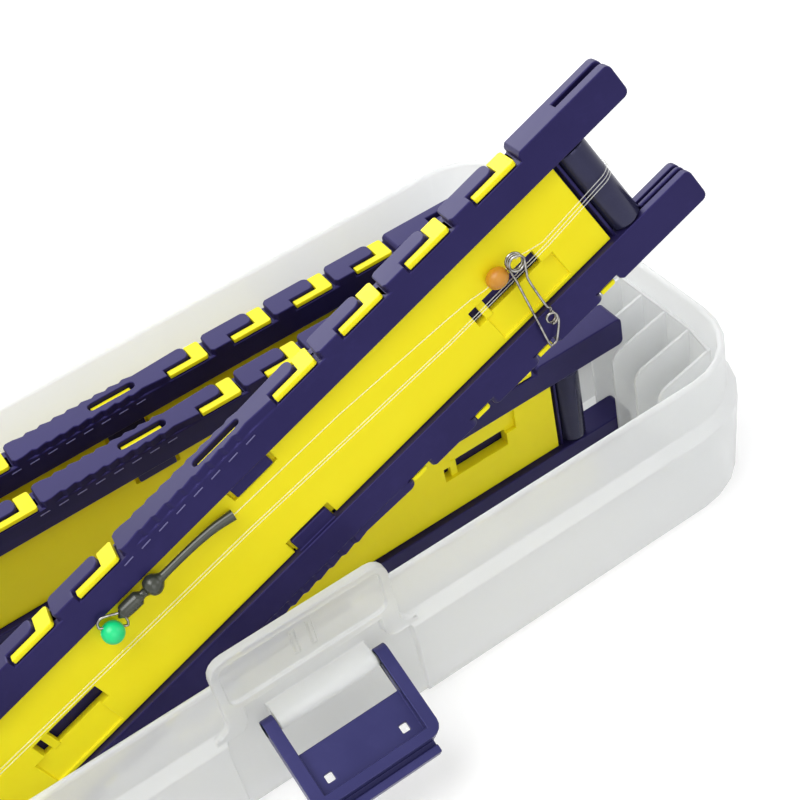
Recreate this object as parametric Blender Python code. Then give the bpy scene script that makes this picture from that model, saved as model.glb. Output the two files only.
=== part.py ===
"""Tackle box: an open tub with a front latch and four rig winding boards.

The frame has its origin under the middle of the tub's base, +Z up, +X along
the length and +Y to the rear. All lengths are metres.
"""
import math

import bmesh
import bpy
from mathutils import Euler, Matrix, Vector

# Shared clearances
CLEAR = 0.0003
OVERRUN = 0.002
OVERLAP = 0.0006
ROUND_STEPS = 4

# Board: one moulded frame of two rails, a clipped core and two line bars
BOARD_LENGTH = 0.233
BOARD_HEIGHT = 0.0428
BOARD_THICK = 0.008
RAIL_HEIGHT = 0.0090
PRONG_LENGTH = 0.0285
LEFT_PRONG_MARGIN = 0.0045
TIP_RADIUS = 0.0016
HOOKS_EACH_SIDE = 4
HOOK_RISE = 0.0022
BLOCK_END_SHARE = 0.37
BLOCK_CHAMFER = 0.0009
FINGER_END_SHARE = 0.775
FINGER_WIDTH = 0.0052
FINGER_ROUND = 0.0017
GRIP_PITCHES = 3
GRIP_RIDGE_PITCH = 0.0041
GRIP_RIDGE_DEPTH = 0.0007
GRIP_RIDGE_SHARE = 0.72
GRIP_MARGIN = 0.003
GRIP_WINDOW_LENGTH = 0.0138
GRIP_STRIP_DROP = 0.0012
LINE_SLOT_LENGTH = 0.014
LINE_SLOT_WIDTH = 0.0020
LINE_SLOT_DEPTH = 0.0042
CLAMP_SLOT_WIDTH = 0.0009
TONGUE_WIDTH = 0.0014
TIE_LENGTH = 0.022
TIE_THICK = 0.002
TAB_LENGTH = 0.011
TAB_REACH = 0.0034
TAB_THICK = 0.0016

# Core: the plate between the rails and the loops outside them
SLIDE_TRAVEL = 0.0008
PLATE_OVERHANG = 0.0055
PLATE_RECESS = 0.0018
PLATE_THICK = 0.0032
NOTCH_DEPTH = 0.0013
WEB_LENGTH = 0.0024
WEB_INSET = 0.0004
WEB_THICK = 0.002
LOOP_DROP = 0.0007
LOOP_LEG_SHARE = 0.40
LOOP_LEG_WIDTH = 0.0021
LOOP_CHAMFER = 0.0005
WINDOW_INSET = 0.0250
WINDOW_LENGTH = 0.0198
WINDOW_HEIGHT = 0.0046
WINDOW_DROP = 0.0042
BRIDGE_PLACE = 0.0023
BRIDGE_LENGTH = 0.0020
BRIDGE_RECESS = 0.0009
POCKET_LENGTH = 0.0206
POCKET_SHIFT = 0.0028
POCKET_MARGIN = 0.0010
POCKET_DEPTH = 0.0013

# Line bars
BAR_RADIUS = 0.004
BAR_GAP = 0.0018
BAR_SIDES = 14
SPIGOT_RADIUS = 0.002
SPIGOT_LENGTH = 0.0015
SOCKET_SIDES = 12

# Tub
RIB_THICK = 0.0008
RIB_GRIP = 0.0045
RIB_BACKING = 0.001
RIB_HEIGHT = 0.0372
RIB_RAMP = 0.0035
RIB_ROUND = 0.004
RIB_COUNT = 11
SIDE_SPACE = 0.0130
END_SPACE = 0.0178
HEADROOM = 0.0011
WALL = 0.002
FLOOR = 0.0018
DRAFT = 0.0012
FOOT_ROUND = 0.0026
INNER_DRAFT = 0.0008
INNER_ROUND = 0.0006
CORNER_RADIUS = 0.020
CORNER_STEPS = 6
RIM_ROUND = 0.0006
LEDGE_TOP_DROP = 0.0144
LEDGE_EDGE_DROP = 0.0172
LEDGE_OUT = 0.0027
TAB_PLATE_WIDTH = 0.0465
TAB_PLATE_RISE = 0.0088
TAB_PLATE_ROUND = 0.0046
TAB_PLATE_THICK = 0.0024
TAB_PLATE_ROOT = 0.009
TAB_RECESS_DEPTH = 0.0011
TAB_BEAD = 0.0022
TAB_RIB_WIDTH = 0.0012
TAB_RIB_SPACE = 0.0044
TAB_RIB_HEIGHT = 0.008
BAY_WIDTH = 0.0512
BAY_SIDE_ROUND = 0.0040
BAY_STRIP_WIDTH = 0.0048
BAY_STRIP_DEPTH = 0.0018
BAR_RIB_LENGTH = 0.0055
BAR_RIB_PLACE = 0.0137
BAR_RIB_DROP = 0.0066

# Latch and the block that carries it
PIVOT_OUT = 0.0046
PIVOT_DROP = 0.0166
BLOCK_LENGTH = 0.0268
BLOCK_RADIUS = 0.0021
PIN_RADIUS = 0.0014
PIN_LENGTH = 0.0029
PIN_SIDES = 12
ARM_WIDTH = 0.0032
ARM_RADIUS = 0.0023
LATCH_LENGTH = 0.0225
LATCH_ROUND = 0.003
LATCH_PANEL_START = 0.0088
LATCH_PANEL_THICK = 0.0018
LATCH_BORDER = 0.0026
LATCH_HOLE = 0.0021
LATCH_HOLE_INSET = 0.0025
LIP_GROOVE = 0.0014
LIP_THICK = 0.0020
LIP_HEIGHT = 0.0034
LIP_DROP = 0.0014
LIP_INSET = 0.0026
LATCH_OPEN_ANGLE = math.radians(-25.0)

# Places of the boards: slot numbers count from the middle slot to the rear
REAR_SLOT = 4.5
SECOND_SLOT = 2.5
FRONT_SLOT = -2.5
SEATED_SHIFT = 0.0004
RAISED_SLOT = -4.5
RAISED_OFFSET = 0.0012
RAISED_HEIGHT = 0.0013
RAISED_DRAWN = 0.0278
RAISED_ANGLE = math.radians(22.8)
RAISED_LEAN = math.radians(15.3)
RAISED_TURN = math.radians(-1.8)

# Rig on the raised board. Places are shares of the board's length, from its
# middle, and of its height.
LINE_RADIUS = 0.00015
LINE_ARC_STEPS = 8
END_TURN_STEPS = 20
WIRE_RADIUS = 0.0003
WIRE_CLEAR = 0.0002
RIG_SIDES = 10
STOP_BEAD_RADIUS = 0.0027
LEAD_BEAD_RADIUS = 0.00235
LEAD_BEAD_HALF = 0.0028
BEAD_RINGS = 8
SEAT_BALL_RADIUS = 0.0025
SEAT_MOUTH_RADIUS = 0.00135
SEAT_BORE_LENGTH = 0.003
COIL_RADIUS = 0.0019
COIL_TURNS = 2.5
COIL_TURN_STEPS = 10
CLASP_RADIUS = 0.0012
HOOK_LINK_SHARES = (
    (-0.0435, 0.6851), (-0.0346, 0.6729), (0.0993, 0.6578), (0.2303, 0.6091),
    (0.2616, 0.5938), (0.2789, 0.5732), (0.3088, 0.5719),
)
LEADER_START_SHARES = (
    (0.3194, 0.5847), (0.3300, 0.5630), (0.3485, 0.5348),
)
FIRST_STRAND_SHARES = (
    (-0.0350, 0.5554), (0.2194, 0.5037), (0.2611, 0.5047), (0.3525, 0.5132),
)
SECOND_STRAND_SHARES = (
    (-0.0350, 0.5379), (0.2193, 0.4874), (0.2610, 0.4884), (0.3523, 0.4948),
)
RIGHT_BAR_SHARES = (0.5605, 0.5389, 0.5195)
LEFT_BAR_SHARES = (0.5937, 0.5727, 0.5517)
END_TURN_SHARE = -0.0257
LEAD_BEAD_SHARE = (0.2940, 0.5729)
# Seat stations: along, up, radius as a share of the ball
SEAT_SHARES = (
    (-0.1725, 0.7449, 0.58), (-0.1708, 0.7449, 0.70), (-0.1541, 0.7415, 0.70),
    (-0.1523, 0.7403, 0.52), (-0.1482, 0.7391, 0.40), (-0.1447, 0.7369, 0.52),
    (-0.1413, 0.7369, 0.84), (-0.1357, 0.7346, 1.00), (-0.1301, 0.7335, 0.84),
    (-0.1268, 0.7324, 0.52), (-0.1221, 0.7301, 0.36), (-0.0961, 0.7255, 0.36),
    (-0.0739, 0.7166, 0.38), (-0.0556, 0.7021, 0.44), (-0.0375, 0.6767, 0.54),
)
HOOP_SHARES = (
    (-0.1668, 0.7567), (-0.1746, 0.7568), (-0.1789, 0.7690), (-0.1857, 0.7967),
    (-0.1916, 0.8121), (-0.1969, 0.8034), (-0.1990, 0.7835), (-0.1982, 0.7669),
    (-0.1826, 0.6786), (-0.1794, 0.6763), (-0.1770, 0.6950), (-0.1762, 0.7171),
    (-0.1742, 0.7325), (-0.1669, 0.7324),
)
STOP_BEAD_SHARE = (-0.1948, 0.7018)
HOOK_LEG_SHARES = (
    (0.3126, 0.1588), (0.3090, 0.1201), (0.2979, 0.0578), (0.2940, 0.0449),
    (0.2904, 0.0469), (0.2888, 0.0684), (0.2957, 0.2468), (0.3052, 0.4886),
)
COIL_SHARE = (0.3159, 0.5913)
CLASP_LEG_SHARES = (
    (0.3167, 0.5108), (0.3135, 0.4568), (0.3102, 0.2735), (0.3121, 0.2390),
)
CLASP_SHARE = (0.3065, 0.1999)

# Derived sizes
HALF_THICK = BOARD_THICK / 2
FIRST_HOOK_END = BOARD_LENGTH / 2 - PRONG_LENGTH
HOOK_COUNT = 2 * HOOKS_EACH_SIDE + GRIP_PITCHES - 1
HOOK_PITCH = (BOARD_LENGTH - PRONG_LENGTH - LEFT_PRONG_MARGIN) / HOOK_COUNT
BLOCK_END = HOOK_PITCH * BLOCK_END_SHARE
FINGER_END = HOOK_PITCH * FINGER_END_SHARE
LOOP_LEG_START = HOOK_PITCH * LOOP_LEG_SHARE
PLATE_LENGTH = 2 * (FIRST_HOOK_END + PLATE_OVERHANG)
WINDOW_PLACE = PLATE_LENGTH / 2 - WINDOW_INSET
SLOT_PITCH = BOARD_THICK + 2 * CLEAR + RIB_THICK
RIM_LENGTH = BOARD_LENGTH + 2 * END_SPACE
RIM_WIDTH = (RIB_COUNT - 1) * SLOT_PITCH + 2 * SIDE_SPACE
TUB_HEIGHT = FLOOR + CLEAR + BOARD_HEIGHT + HEADROOM
BOARD_SEAT = FLOOR + CLEAR
LEDGE = RAIL_HEIGHT - HOOK_RISE
HOOK_GAP = SLIDE_TRAVEL + CLEAR
CROSS_START = FINGER_END + CLEAR
PLATE_NEAR = -(HALF_THICK - PLATE_RECESS)
PLATE_FAR = PLATE_NEAR + PLATE_THICK
OPEN_HEIGHT = BOARD_HEIGHT - 2 * RAIL_HEIGHT
BAR_PLACE = PLATE_LENGTH / 2 + BAR_GAP + BAR_RADIUS
LOOP_HALF = HALF_THICK - CLEAR
LINE_PLANE = BAR_RADIUS + CLEAR + LINE_RADIUS
LEG_PLANE = LINE_PLANE + LINE_RADIUS + CLEAR + WIRE_RADIUS
COIL_STEP = 2 * WIRE_RADIUS + CLEAR
SEAT_PLANE = CLEAR + SEAT_BALL_RADIUS - PLATE_NEAR
MOUTH_PLANE = CLEAR + SEAT_MOUTH_RADIUS - PLATE_NEAR


def clear_scene():
    """Remove whatever objects the scene holds."""
    for item in list(bpy.data.objects):
        bpy.data.objects.remove(item, do_unlink=True)


def make_material(name, colour, roughness, alpha=1.0):
    """Return a plain Principled material."""
    material = bpy.data.materials.new(name)
    material.use_nodes = True
    shader = material.node_tree.nodes["Principled BSDF"]
    shader.inputs["Base Color"].default_value = (*colour, 1.0)
    shader.inputs["Roughness"].default_value = roughness
    shader.inputs["Metallic"].default_value = 0.0
    shader.inputs["Alpha"].default_value = alpha
    material.diffuse_color = (*colour, alpha)
    return material


def make_object(name, shape):
    """Turn a bmesh into an object whose faces point outwards."""
    bmesh.ops.recalc_face_normals(shape, faces=shape.faces)
    mesh = bpy.data.meshes.new(name)
    shape.to_mesh(mesh)
    shape.free()
    item = bpy.data.objects.new(name, mesh)
    bpy.context.scene.collection.objects.link(item)
    return item


def combine(base, tool, operation):
    """Join or cut base with tool, keep the result in base and drop tool."""
    modifier = base.modifiers.new("combine", "BOOLEAN")
    modifier.operation = operation
    modifier.object = tool
    bpy.context.view_layer.update()
    graph = bpy.context.evaluated_depsgraph_get()
    result = bpy.data.meshes.new_from_object(base.evaluated_get(graph))
    base.modifiers.clear()
    base.data = result
    bpy.data.objects.remove(tool, do_unlink=True)


def prism(shape, outline, place, low, high):
    """Add a prism: outline points put through place(a, b, depth)."""
    lower = [shape.verts.new(place(a, b, low)) for a, b in outline]
    upper = [shape.verts.new(place(a, b, high)) for a, b in outline]
    count = len(outline)
    shape.faces.new(lower)
    shape.faces.new(upper)
    for index in range(count):
        following = (index + 1) % count
        shape.faces.new((lower[index], lower[following], upper[following], upper[index]))


def side_view(a, b, depth):
    """Outline along X and Z, depth along Y."""
    return Vector((a, depth, b))


def plan_view(a, b, depth):
    """Outline along X and Y, depth along Z."""
    return Vector((a, b, depth))


def end_view(a, b, depth):
    """Outline along Y and Z, depth along X."""
    return Vector((depth, a, b))


def box(shape, low, high):
    """Add a box between two corners."""
    outline = ((low[0], low[1]), (high[0], low[1]), (high[0], high[1]), (low[0], high[1]))
    prism(shape, outline, plan_view, low[2], high[2])


def arc(centre, radius, start, end, steps=ROUND_STEPS):
    """Return points on an arc, angles in degrees."""
    points = []
    for index in range(steps + 1):
        angle = math.radians(start + (end - start) * index / steps)
        points.append((centre[0] + radius * math.cos(angle), centre[1] + radius * math.sin(angle)))
    return points


def rounded_box_outline(low, high, radius):
    """Return a rectangle with four round corners."""
    left, bottom = low
    right, top = high
    points = arc((right - radius, bottom + radius), radius, -90, 0)
    points += arc((right - radius, top - radius), radius, 0, 90)
    points += arc((left + radius, top - radius), radius, 90, 180)
    points += arc((left + radius, bottom + radius), radius, 180, 270)
    return points


def tube_ring(shape, centre, radius, sides, across, up):
    """Add one ring of a turned piece."""
    ring = []
    for index in range(sides):
        angle = 2 * math.pi * index / sides
        offset = across * math.cos(angle) + up * math.sin(angle)
        ring.append(shape.verts.new(centre + offset * radius))
    return ring


def skin(shape, rings, closed_ends=True):
    """Join successive rings of equal count with faces."""
    count = len(rings[0])
    for first, second in zip(rings, rings[1:]):
        for index in range(count):
            following = (index + 1) % count
            shape.faces.new((first[index], first[following], second[following], second[index]))
    if closed_ends:
        shape.faces.new(rings[0])
        shape.faces.new(rings[-1])


def turned(shape, stations, axis_start, axis, sides):
    """Add a turned solid: stations are (distance along the axis, radius)."""
    axis = axis.normalized()
    across = axis.orthogonal().normalized()
    up = axis.cross(across)
    rings = [tube_ring(shape, axis_start + axis * distance, radius, sides, across, up)
             for distance, radius in stations]
    skin(shape, rings)


def hook_starts():
    """Return where each hook unit starts along the rail, grip unit left out."""
    right = [FIRST_HOOK_END - HOOK_PITCH * (index + 1) for index in range(HOOKS_EACH_SIDE - 1)]
    grip = grip_start() - HOOK_PITCH
    left = [grip - HOOK_PITCH * index for index in range(HOOKS_EACH_SIDE)]
    return right + left


def grip_hook_start():
    """Return where the hook unit that the grip runs into starts."""
    return FIRST_HOOK_END - HOOK_PITCH * HOOKS_EACH_SIDE


def grip_start():
    """Return where the long grip block starts."""
    return FIRST_HOOK_END - HOOK_PITCH * (HOOKS_EACH_SIDE - 1 + GRIP_PITCHES)


def finger_end_points(start):
    """Return the finger from its root round its tip, inner side first."""
    inner = HALF_THICK - FINGER_WIDTH
    tip = start + FINGER_END - FINGER_ROUND
    points = [(start + BLOCK_END, inner)]
    points += arc((tip, inner + FINGER_ROUND), FINGER_ROUND, -90, 0)
    points += arc((tip, HALF_THICK - FINGER_ROUND), FINGER_ROUND, 0, 90)
    return points


def hook_outline(start):
    """Return a block with its finger along the rear face, seen from the outer edge."""
    low = start + HOOK_GAP
    high = start + BLOCK_END
    points = [(low + BLOCK_CHAMFER, -HALF_THICK), (high, -HALF_THICK)]
    points += finger_end_points(start)
    points += [(low + BLOCK_CHAMFER, HALF_THICK)]
    points += [(low, HALF_THICK - BLOCK_CHAMFER), (low, -HALF_THICK + BLOCK_CHAMFER)]
    return points


def last_finger_outline():
    """Return the finger that grows out of the left prong."""
    root = hook_starts()[-1] + BLOCK_END - OVERLAP
    points = finger_end_points(hook_starts()[-1])
    return [(root, points[0][1])] + points[1:] + [(root, HALF_THICK)]


def faced(outline, upper):
    """Return an outline as it is on the upper rail, or turned front to rear on the lower."""
    if upper:
        return outline
    return [(x, -y) for x, y in outline]


def grip_outline():
    """Return the long grip block with ridged flanks and the finger it ends in."""
    low = grip_start() + HOOK_GAP
    last = grip_hook_start()
    high = last + BLOCK_END
    first_ridge = low + GRIP_MARGIN
    count = int((high - GRIP_MARGIN - first_ridge) / GRIP_RIDGE_PITCH)
    flank = []
    for index in range(count):
        place = first_ridge + index * GRIP_RIDGE_PITCH
        flank.append((place, HALF_THICK))
        flank.append((place + GRIP_RIDGE_PITCH * GRIP_RIDGE_SHARE, HALF_THICK - GRIP_RIDGE_DEPTH))
    points = [(low + BLOCK_CHAMFER, -HALF_THICK)]
    points += [(x, -y) for x, y in flank]
    points.append((high, -HALF_THICK))
    points += finger_end_points(last)
    points += list(reversed(flank))
    points += [(low + BLOCK_CHAMFER, HALF_THICK), (low, HALF_THICK - BLOCK_CHAMFER)]
    points.append((low, -HALF_THICK + BLOCK_CHAMFER))
    return points


def rail_outline():
    """Return a rail seen from the side: bar with a raised prong at each end."""
    half = BOARD_LENGTH / 2
    top = RAIL_HEIGHT
    prong = FIRST_HOOK_END + HOOK_GAP
    left_prong = hook_starts()[-1] + BLOCK_END
    points = arc((-half + TIP_RADIUS, TIP_RADIUS), TIP_RADIUS, 180, 270)
    points += arc((half - TIP_RADIUS, TIP_RADIUS), TIP_RADIUS, 270, 360)
    points += arc((half - TIP_RADIUS, top - TIP_RADIUS), TIP_RADIUS, 0, 90)
    points += [(prong + BLOCK_CHAMFER, top), (prong, top - BLOCK_CHAMFER), (prong, LEDGE)]
    points += [(left_prong, LEDGE), (left_prong, top)]
    points += arc((-half + TIP_RADIUS, top - TIP_RADIUS), TIP_RADIUS, 90, 180)
    return points


def rail_side(upper):
    """Return the map from a rail's own height to the board's height."""
    if upper:
        return lambda height: BOARD_HEIGHT - RAIL_HEIGHT + height
    return lambda height: RAIL_HEIGHT - height


def add_rail_prisms(shape, outline, place_height):
    """Add one rail from its outline."""
    placed = [(x, place_height(height)) for x, height in outline]
    prism(shape, placed, side_view, -HALF_THICK, HALF_THICK)


def frame_additions():
    """Return the blocks, fingers, grips, ties and snap tabs of a frame."""
    shape = bmesh.new()
    for upper in (False, True):
        height = rail_side(upper)
        low, high = height(LEDGE - OVERLAP), height(RAIL_HEIGHT)
        for start in hook_starts()[:-1]:
            prism(shape, faced(hook_outline(start), upper), plan_view, low, high)
        prism(shape, faced(grip_outline(), upper), plan_view, low, high)
        prism(shape, faced(last_finger_outline(), upper), plan_view, low, high)
        tab_near = PLATE_NEAR + NOTCH_DEPTH - CLEAR - TAB_THICK
        tab_low, tab_high = height(-TAB_REACH), height(OVERLAP)
        box(shape, (-TAB_LENGTH / 2, tab_near, min(tab_low, tab_high)),
            (TAB_LENGTH / 2, tab_near + TAB_THICK, max(tab_low, tab_high)))
    for side in (-1, 1):
        middle = side * WINDOW_PLACE
        near = PLATE_FAR + CLEAR
        box(shape, (middle - TIE_LENGTH / 2, near, RAIL_HEIGHT - OVERLAP),
            (middle + TIE_LENGTH / 2, near + TIE_THICK, BOARD_HEIGHT - RAIL_HEIGHT + OVERLAP))
    return make_object("frame_additions", shape)


def web_start(start):
    """Return where the web of the hook unit at start begins."""
    return start + HOOK_PITCH - WEB_INSET - WEB_LENGTH


def all_unit_starts():
    """Return the starts of all units that hold a loop of the core."""
    return hook_starts() + [grip_hook_start()]


def slot_outline(clamp):
    """Return a prong's slot as (past its start, y) points: one wide slot, or two joined ones."""
    end = LINE_SLOT_LENGTH + OVERRUN
    if not clamp:
        half = LINE_SLOT_WIDTH / 2
        return ((0, -half), (end, -half), (end, half), (0, half))
    inner = TONGUE_WIDTH / 2
    outer = inner + CLAMP_SLOT_WIDTH
    near = CLAMP_SLOT_WIDTH
    return ((0, -outer), (end, -outer), (end, -inner), (near, -inner),
            (near, inner), (end, inner), (end, outer), (0, outer))


def add_prong_slots(shape, upper, high_clamp):
    """Add the slots in both prongs of one rail, open at the tip.

    The wide slot is open outwards, the joined ones are open to the other rail.
    """
    clamp = upper == high_clamp
    height = rail_side(upper)
    start = BOARD_LENGTH / 2 - LINE_SLOT_LENGTH
    depths = (RAIL_HEIGHT - LINE_SLOT_DEPTH, RAIL_HEIGHT + OVERRUN)
    if clamp:
        depths = (-OVERRUN, LINE_SLOT_DEPTH)
    inner, outer = sorted(height(depth) for depth in depths)
    for side in (-1, 1):
        placed = [(side * (start + x), y) for x, y in slot_outline(clamp)]
        prism(shape, placed, plan_view, inner, outer)


def frame_cuts(high_clamp):
    """Return the web slots, grip windows, line slots and bar sockets."""
    shape = bmesh.new()
    half_web = WEB_THICK / 2 + CLEAR
    for upper in (False, True):
        height = rail_side(upper)
        inner, outer = sorted((height(-OVERRUN / 2), height(LEDGE + OVERRUN)))
        for start in all_unit_starts():
            low = web_start(start) - CLEAR
            high = low + WEB_LENGTH + SLIDE_TRAVEL + 2 * CLEAR
            box(shape, (low, -half_web, inner), (high, half_web, outer))
        inner, outer = sorted((height(-OVERRUN), height(RAIL_HEIGHT + OVERRUN)))
        window = rounded_box_outline((-GRIP_WINDOW_LENGTH / 2, -half_web),
                                     (GRIP_WINDOW_LENGTH / 2, half_web), half_web - OVERLAP / 4)
        prism(shape, window, plan_view, inner, outer)
        add_prong_slots(shape, upper, high_clamp)
        low, high = sorted((height(-OVERRUN), height(SPIGOT_LENGTH + CLEAR)))
        socket = ((0, SPIGOT_RADIUS + CLEAR), (high - low, SPIGOT_RADIUS + CLEAR))
        for side in (-1, 1):
            turned(shape, socket, Vector((side * BAR_PLACE, 0, low)), Vector((0, 0, 1)), SOCKET_SIDES)
    return make_object("frame_cuts", shape)


def build_frame_mesh(high_clamp):
    """Return the mesh of a frame whose clamp slots are in its upper or lower prongs."""
    shape = bmesh.new()
    for upper in (False, True):
        add_rail_prisms(shape, rail_outline(), rail_side(upper))
    frame = make_object("frame", shape)
    combine(frame, frame_additions(), "UNION")
    combine(frame, frame_cuts(high_clamp), "DIFFERENCE")
    return take_mesh(frame)


def take_mesh(item):
    """Return an object's mesh, shaded smooth between sharp edges, and drop the object."""
    mesh = item.data
    mesh.shade_smooth()
    mesh.set_sharp_from_angle(angle=math.radians(35))
    bpy.data.objects.remove(item, do_unlink=True)
    return mesh


def loop_outline(start):
    """Return one loop of the core: a cross piece with one leg back along the finger."""
    inner = LOOP_LEG_WIDTH - LOOP_HALF
    end = start + HOOK_PITCH
    leg = start + LOOP_LEG_START
    cross = start + CROSS_START
    points = [(leg, -LOOP_HALF), (end - LOOP_CHAMFER, -LOOP_HALF), (end, -LOOP_HALF + LOOP_CHAMFER)]
    points += [(end, LOOP_HALF - LOOP_CHAMFER), (end - LOOP_CHAMFER, LOOP_HALF), (cross, LOOP_HALF)]
    points += [(cross, inner), (leg, inner)]
    return points


def core_webs():
    """Return the webs that pass through the rails, loops and grip strips left out."""
    shape = bmesh.new()
    half_web = WEB_THICK / 2
    strip = (GRIP_WINDOW_LENGTH - SLIDE_TRAVEL) / 2 - 2 * CLEAR
    for upper in (False, True):
        height = rail_side(upper)
        inner, outer = sorted((height(-OVERRUN), height(LEDGE + CLEAR + OVERLAP)))
        for start in all_unit_starts():
            low = web_start(start)
            box(shape, (low, -half_web, inner), (low + WEB_LENGTH, half_web, outer))
        inner, outer = sorted((height(-OVERRUN), height(RAIL_HEIGHT - GRIP_STRIP_DROP)))
        left = -strip - SLIDE_TRAVEL / 2
        box(shape, (left, -half_web, inner), (left + 2 * strip, half_web, outer))
    return make_object("core_webs", shape)


def core_loops():
    """Return the loops outside the rails."""
    shape = bmesh.new()
    for upper in (False, True):
        height = rail_side(upper)
        low, high = height(LEDGE + CLEAR), height(RAIL_HEIGHT - LOOP_DROP)
        for start in all_unit_starts():
            prism(shape, faced(loop_outline(start), upper), plan_view, low, high)
    return make_object("core_loops", shape)


def core_cuts(high_pocket):
    """Return the window slots and the notches for the snap tabs."""
    shape = bmesh.new()
    height = rail_side(not high_pocket)
    middle = BOARD_HEIGHT / 2 - RAIL_HEIGHT
    low, high = sorted((height(-middle - WINDOW_DROP), height(-middle - WINDOW_DROP + WINDOW_HEIGHT)))
    for side in (-1, 1):
        place = side * WINDOW_PLACE
        box(shape, (place - WINDOW_LENGTH / 2, PLATE_NEAR - OVERRUN, low),
            (place + WINDOW_LENGTH / 2, PLATE_FAR + OVERRUN, high))
    notch = TAB_LENGTH / 2 + HOOK_GAP
    for upper in (False, True):
        height = rail_side(upper)
        low, high = sorted((height(-TAB_REACH - CLEAR), height(0)))
        box(shape, (-notch, PLATE_NEAR - OVERRUN, low), (notch, PLATE_NEAR + NOTCH_DEPTH, high))
    return make_object("core_cuts", shape)


def core_bridges(high_pocket):
    """Return the narrow bridges across the window slots."""
    shape = bmesh.new()
    height = rail_side(not high_pocket)
    middle = BOARD_HEIGHT / 2 - RAIL_HEIGHT
    low, high = sorted((height(-middle - WINDOW_DROP - OVERLAP),
                        height(-middle - WINDOW_DROP + WINDOW_HEIGHT + OVERLAP)))
    for side in (-1, 1):
        start = side * WINDOW_PLACE - WINDOW_LENGTH / 2 + BRIDGE_PLACE
        box(shape, (start, PLATE_NEAR + BRIDGE_RECESS, low),
            (start + BRIDGE_LENGTH, PLATE_FAR - OVERLAP, high))
    return make_object("core_bridges", shape)


def core_pockets(high_pocket):
    """Return the ramped pockets between the window slots and one rail."""
    shape = bmesh.new()
    height = rail_side(high_pocket)
    shallow = height(-POCKET_MARGIN - CLEAR)
    deep = height(WINDOW_DROP - BOARD_HEIGHT / 2 + RAIL_HEIGHT - OVERLAP)
    ramp = ((PLATE_NEAR - OVERRUN, deep), (PLATE_NEAR + POCKET_DEPTH, deep),
            (PLATE_NEAR + POCKET_DEPTH / 2, shallow), (PLATE_NEAR - OVERRUN, shallow))
    for side in (-1, 1):
        place = side * (WINDOW_PLACE + POCKET_SHIFT)
        prism(shape, ramp, end_view, place - POCKET_LENGTH / 2, place + POCKET_LENGTH / 2)
    return make_object("core_pockets", shape)


def build_core_mesh(high_pocket):
    """Return the mesh of a core whose pockets are above or below its windows."""
    shape = bmesh.new()
    low = RAIL_HEIGHT + CLEAR
    box(shape, (-PLATE_LENGTH / 2, PLATE_NEAR, low),
        (PLATE_LENGTH / 2, PLATE_FAR, BOARD_HEIGHT - low))
    core = make_object("core", shape)
    combine(core, core_webs(), "UNION")
    combine(core, core_loops(), "UNION")
    combine(core, core_cuts(high_pocket), "DIFFERENCE")
    combine(core, core_pockets(high_pocket), "DIFFERENCE")
    combine(core, core_bridges(high_pocket), "UNION")
    return take_mesh(core)


def build_bar_mesh():
    """Return the mesh of a line bar with a spigot at each end."""
    shape = bmesh.new()
    length = OPEN_HEIGHT - 2 * CLEAR
    spigot = SPIGOT_LENGTH
    stations = ((0, SPIGOT_RADIUS), (spigot, SPIGOT_RADIUS), (spigot, BAR_RADIUS),
                (spigot + length, BAR_RADIUS), (spigot + length, SPIGOT_RADIUS),
                (spigot + length + spigot, SPIGOT_RADIUS))
    start = Vector((0, 0, RAIL_HEIGHT + CLEAR - spigot))
    turned(shape, stations, start, Vector((0, 0, 1)), BAR_SIDES)
    return take_mesh(make_object("bar", shape))


def slot_y(number):
    """Return the middle of a slot, counted from the middle one to the rear."""
    return number * SLOT_PITCH


def seated_matrix(number):
    """Return the place of a board that stands in its slot."""
    return Matrix.Translation((SEATED_SHIFT, slot_y(number), BOARD_SEAT))


def raised_matrix():
    """Return the place of the board that is tipped up out of its slot."""
    turn = Euler((-RAISED_LEAN, -RAISED_ANGLE, RAISED_TURN)).to_matrix().to_4x4()
    corner = Vector((-BOARD_LENGTH / 2 + TIP_RADIUS, HALF_THICK, 0))
    reach = (turn @ corner).z - TIP_RADIUS * (1 - math.cos(RAISED_ANGLE))
    middle = turn @ Vector((-BOARD_LENGTH / 2, 0, 0))
    corner_x = RAISED_DRAWN - BOARD_LENGTH / 2
    place = Vector((corner_x, slot_y(RAISED_SLOT) - RAISED_OFFSET, 0)) - middle
    place.z = FLOOR + RAISED_HEIGHT - reach
    return Matrix.Translation(place) @ turn


def add_board(name, matrix, meshes, materials):
    """Add one board: an empty that carries frame, core and two bars."""
    carrier = bpy.data.objects.new(name, None)
    bpy.context.scene.collection.objects.link(carrier)
    carrier.matrix_world = matrix
    pieces = (("frame", "frame", 0), ("core", "core", 0),
              ("bar_left", "bar", -BAR_PLACE), ("bar_right", "bar", BAR_PLACE))
    for suffix, kind, place in pieces:
        item = bpy.data.objects.new(f"{name}_{suffix}", meshes[kind])
        bpy.context.scene.collection.objects.link(item)
        item.parent = carrier
        item.location = (place, 0, 0)
        give_material(item, materials[kind])
    return carrier


def give_material(item, material):
    """Put one material on an object without touching its shared mesh."""
    if not item.data.materials:
        item.data.materials.append(None)
    item.material_slots[0].link = "OBJECT"
    item.material_slots[0].material = material


def rounded_ring(shape, grow, height):
    """Add a ring that follows the tub's outline, grown outwards."""
    half_x = RIM_LENGTH / 2 + grow
    half_y = RIM_WIDTH / 2 + grow
    radius = CORNER_RADIUS + grow
    corners = ((half_x - radius, -half_y + radius, -90), (half_x - radius, half_y - radius, 0),
               (-half_x + radius, half_y - radius, 90), (-half_x + radius, -half_y + radius, 180))
    ring = []
    for x, y, start in corners:
        for point in arc((x, y), radius, start, start + 90, CORNER_STEPS):
            ring.append(shape.verts.new((point[0], point[1], height)))
    return ring


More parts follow.
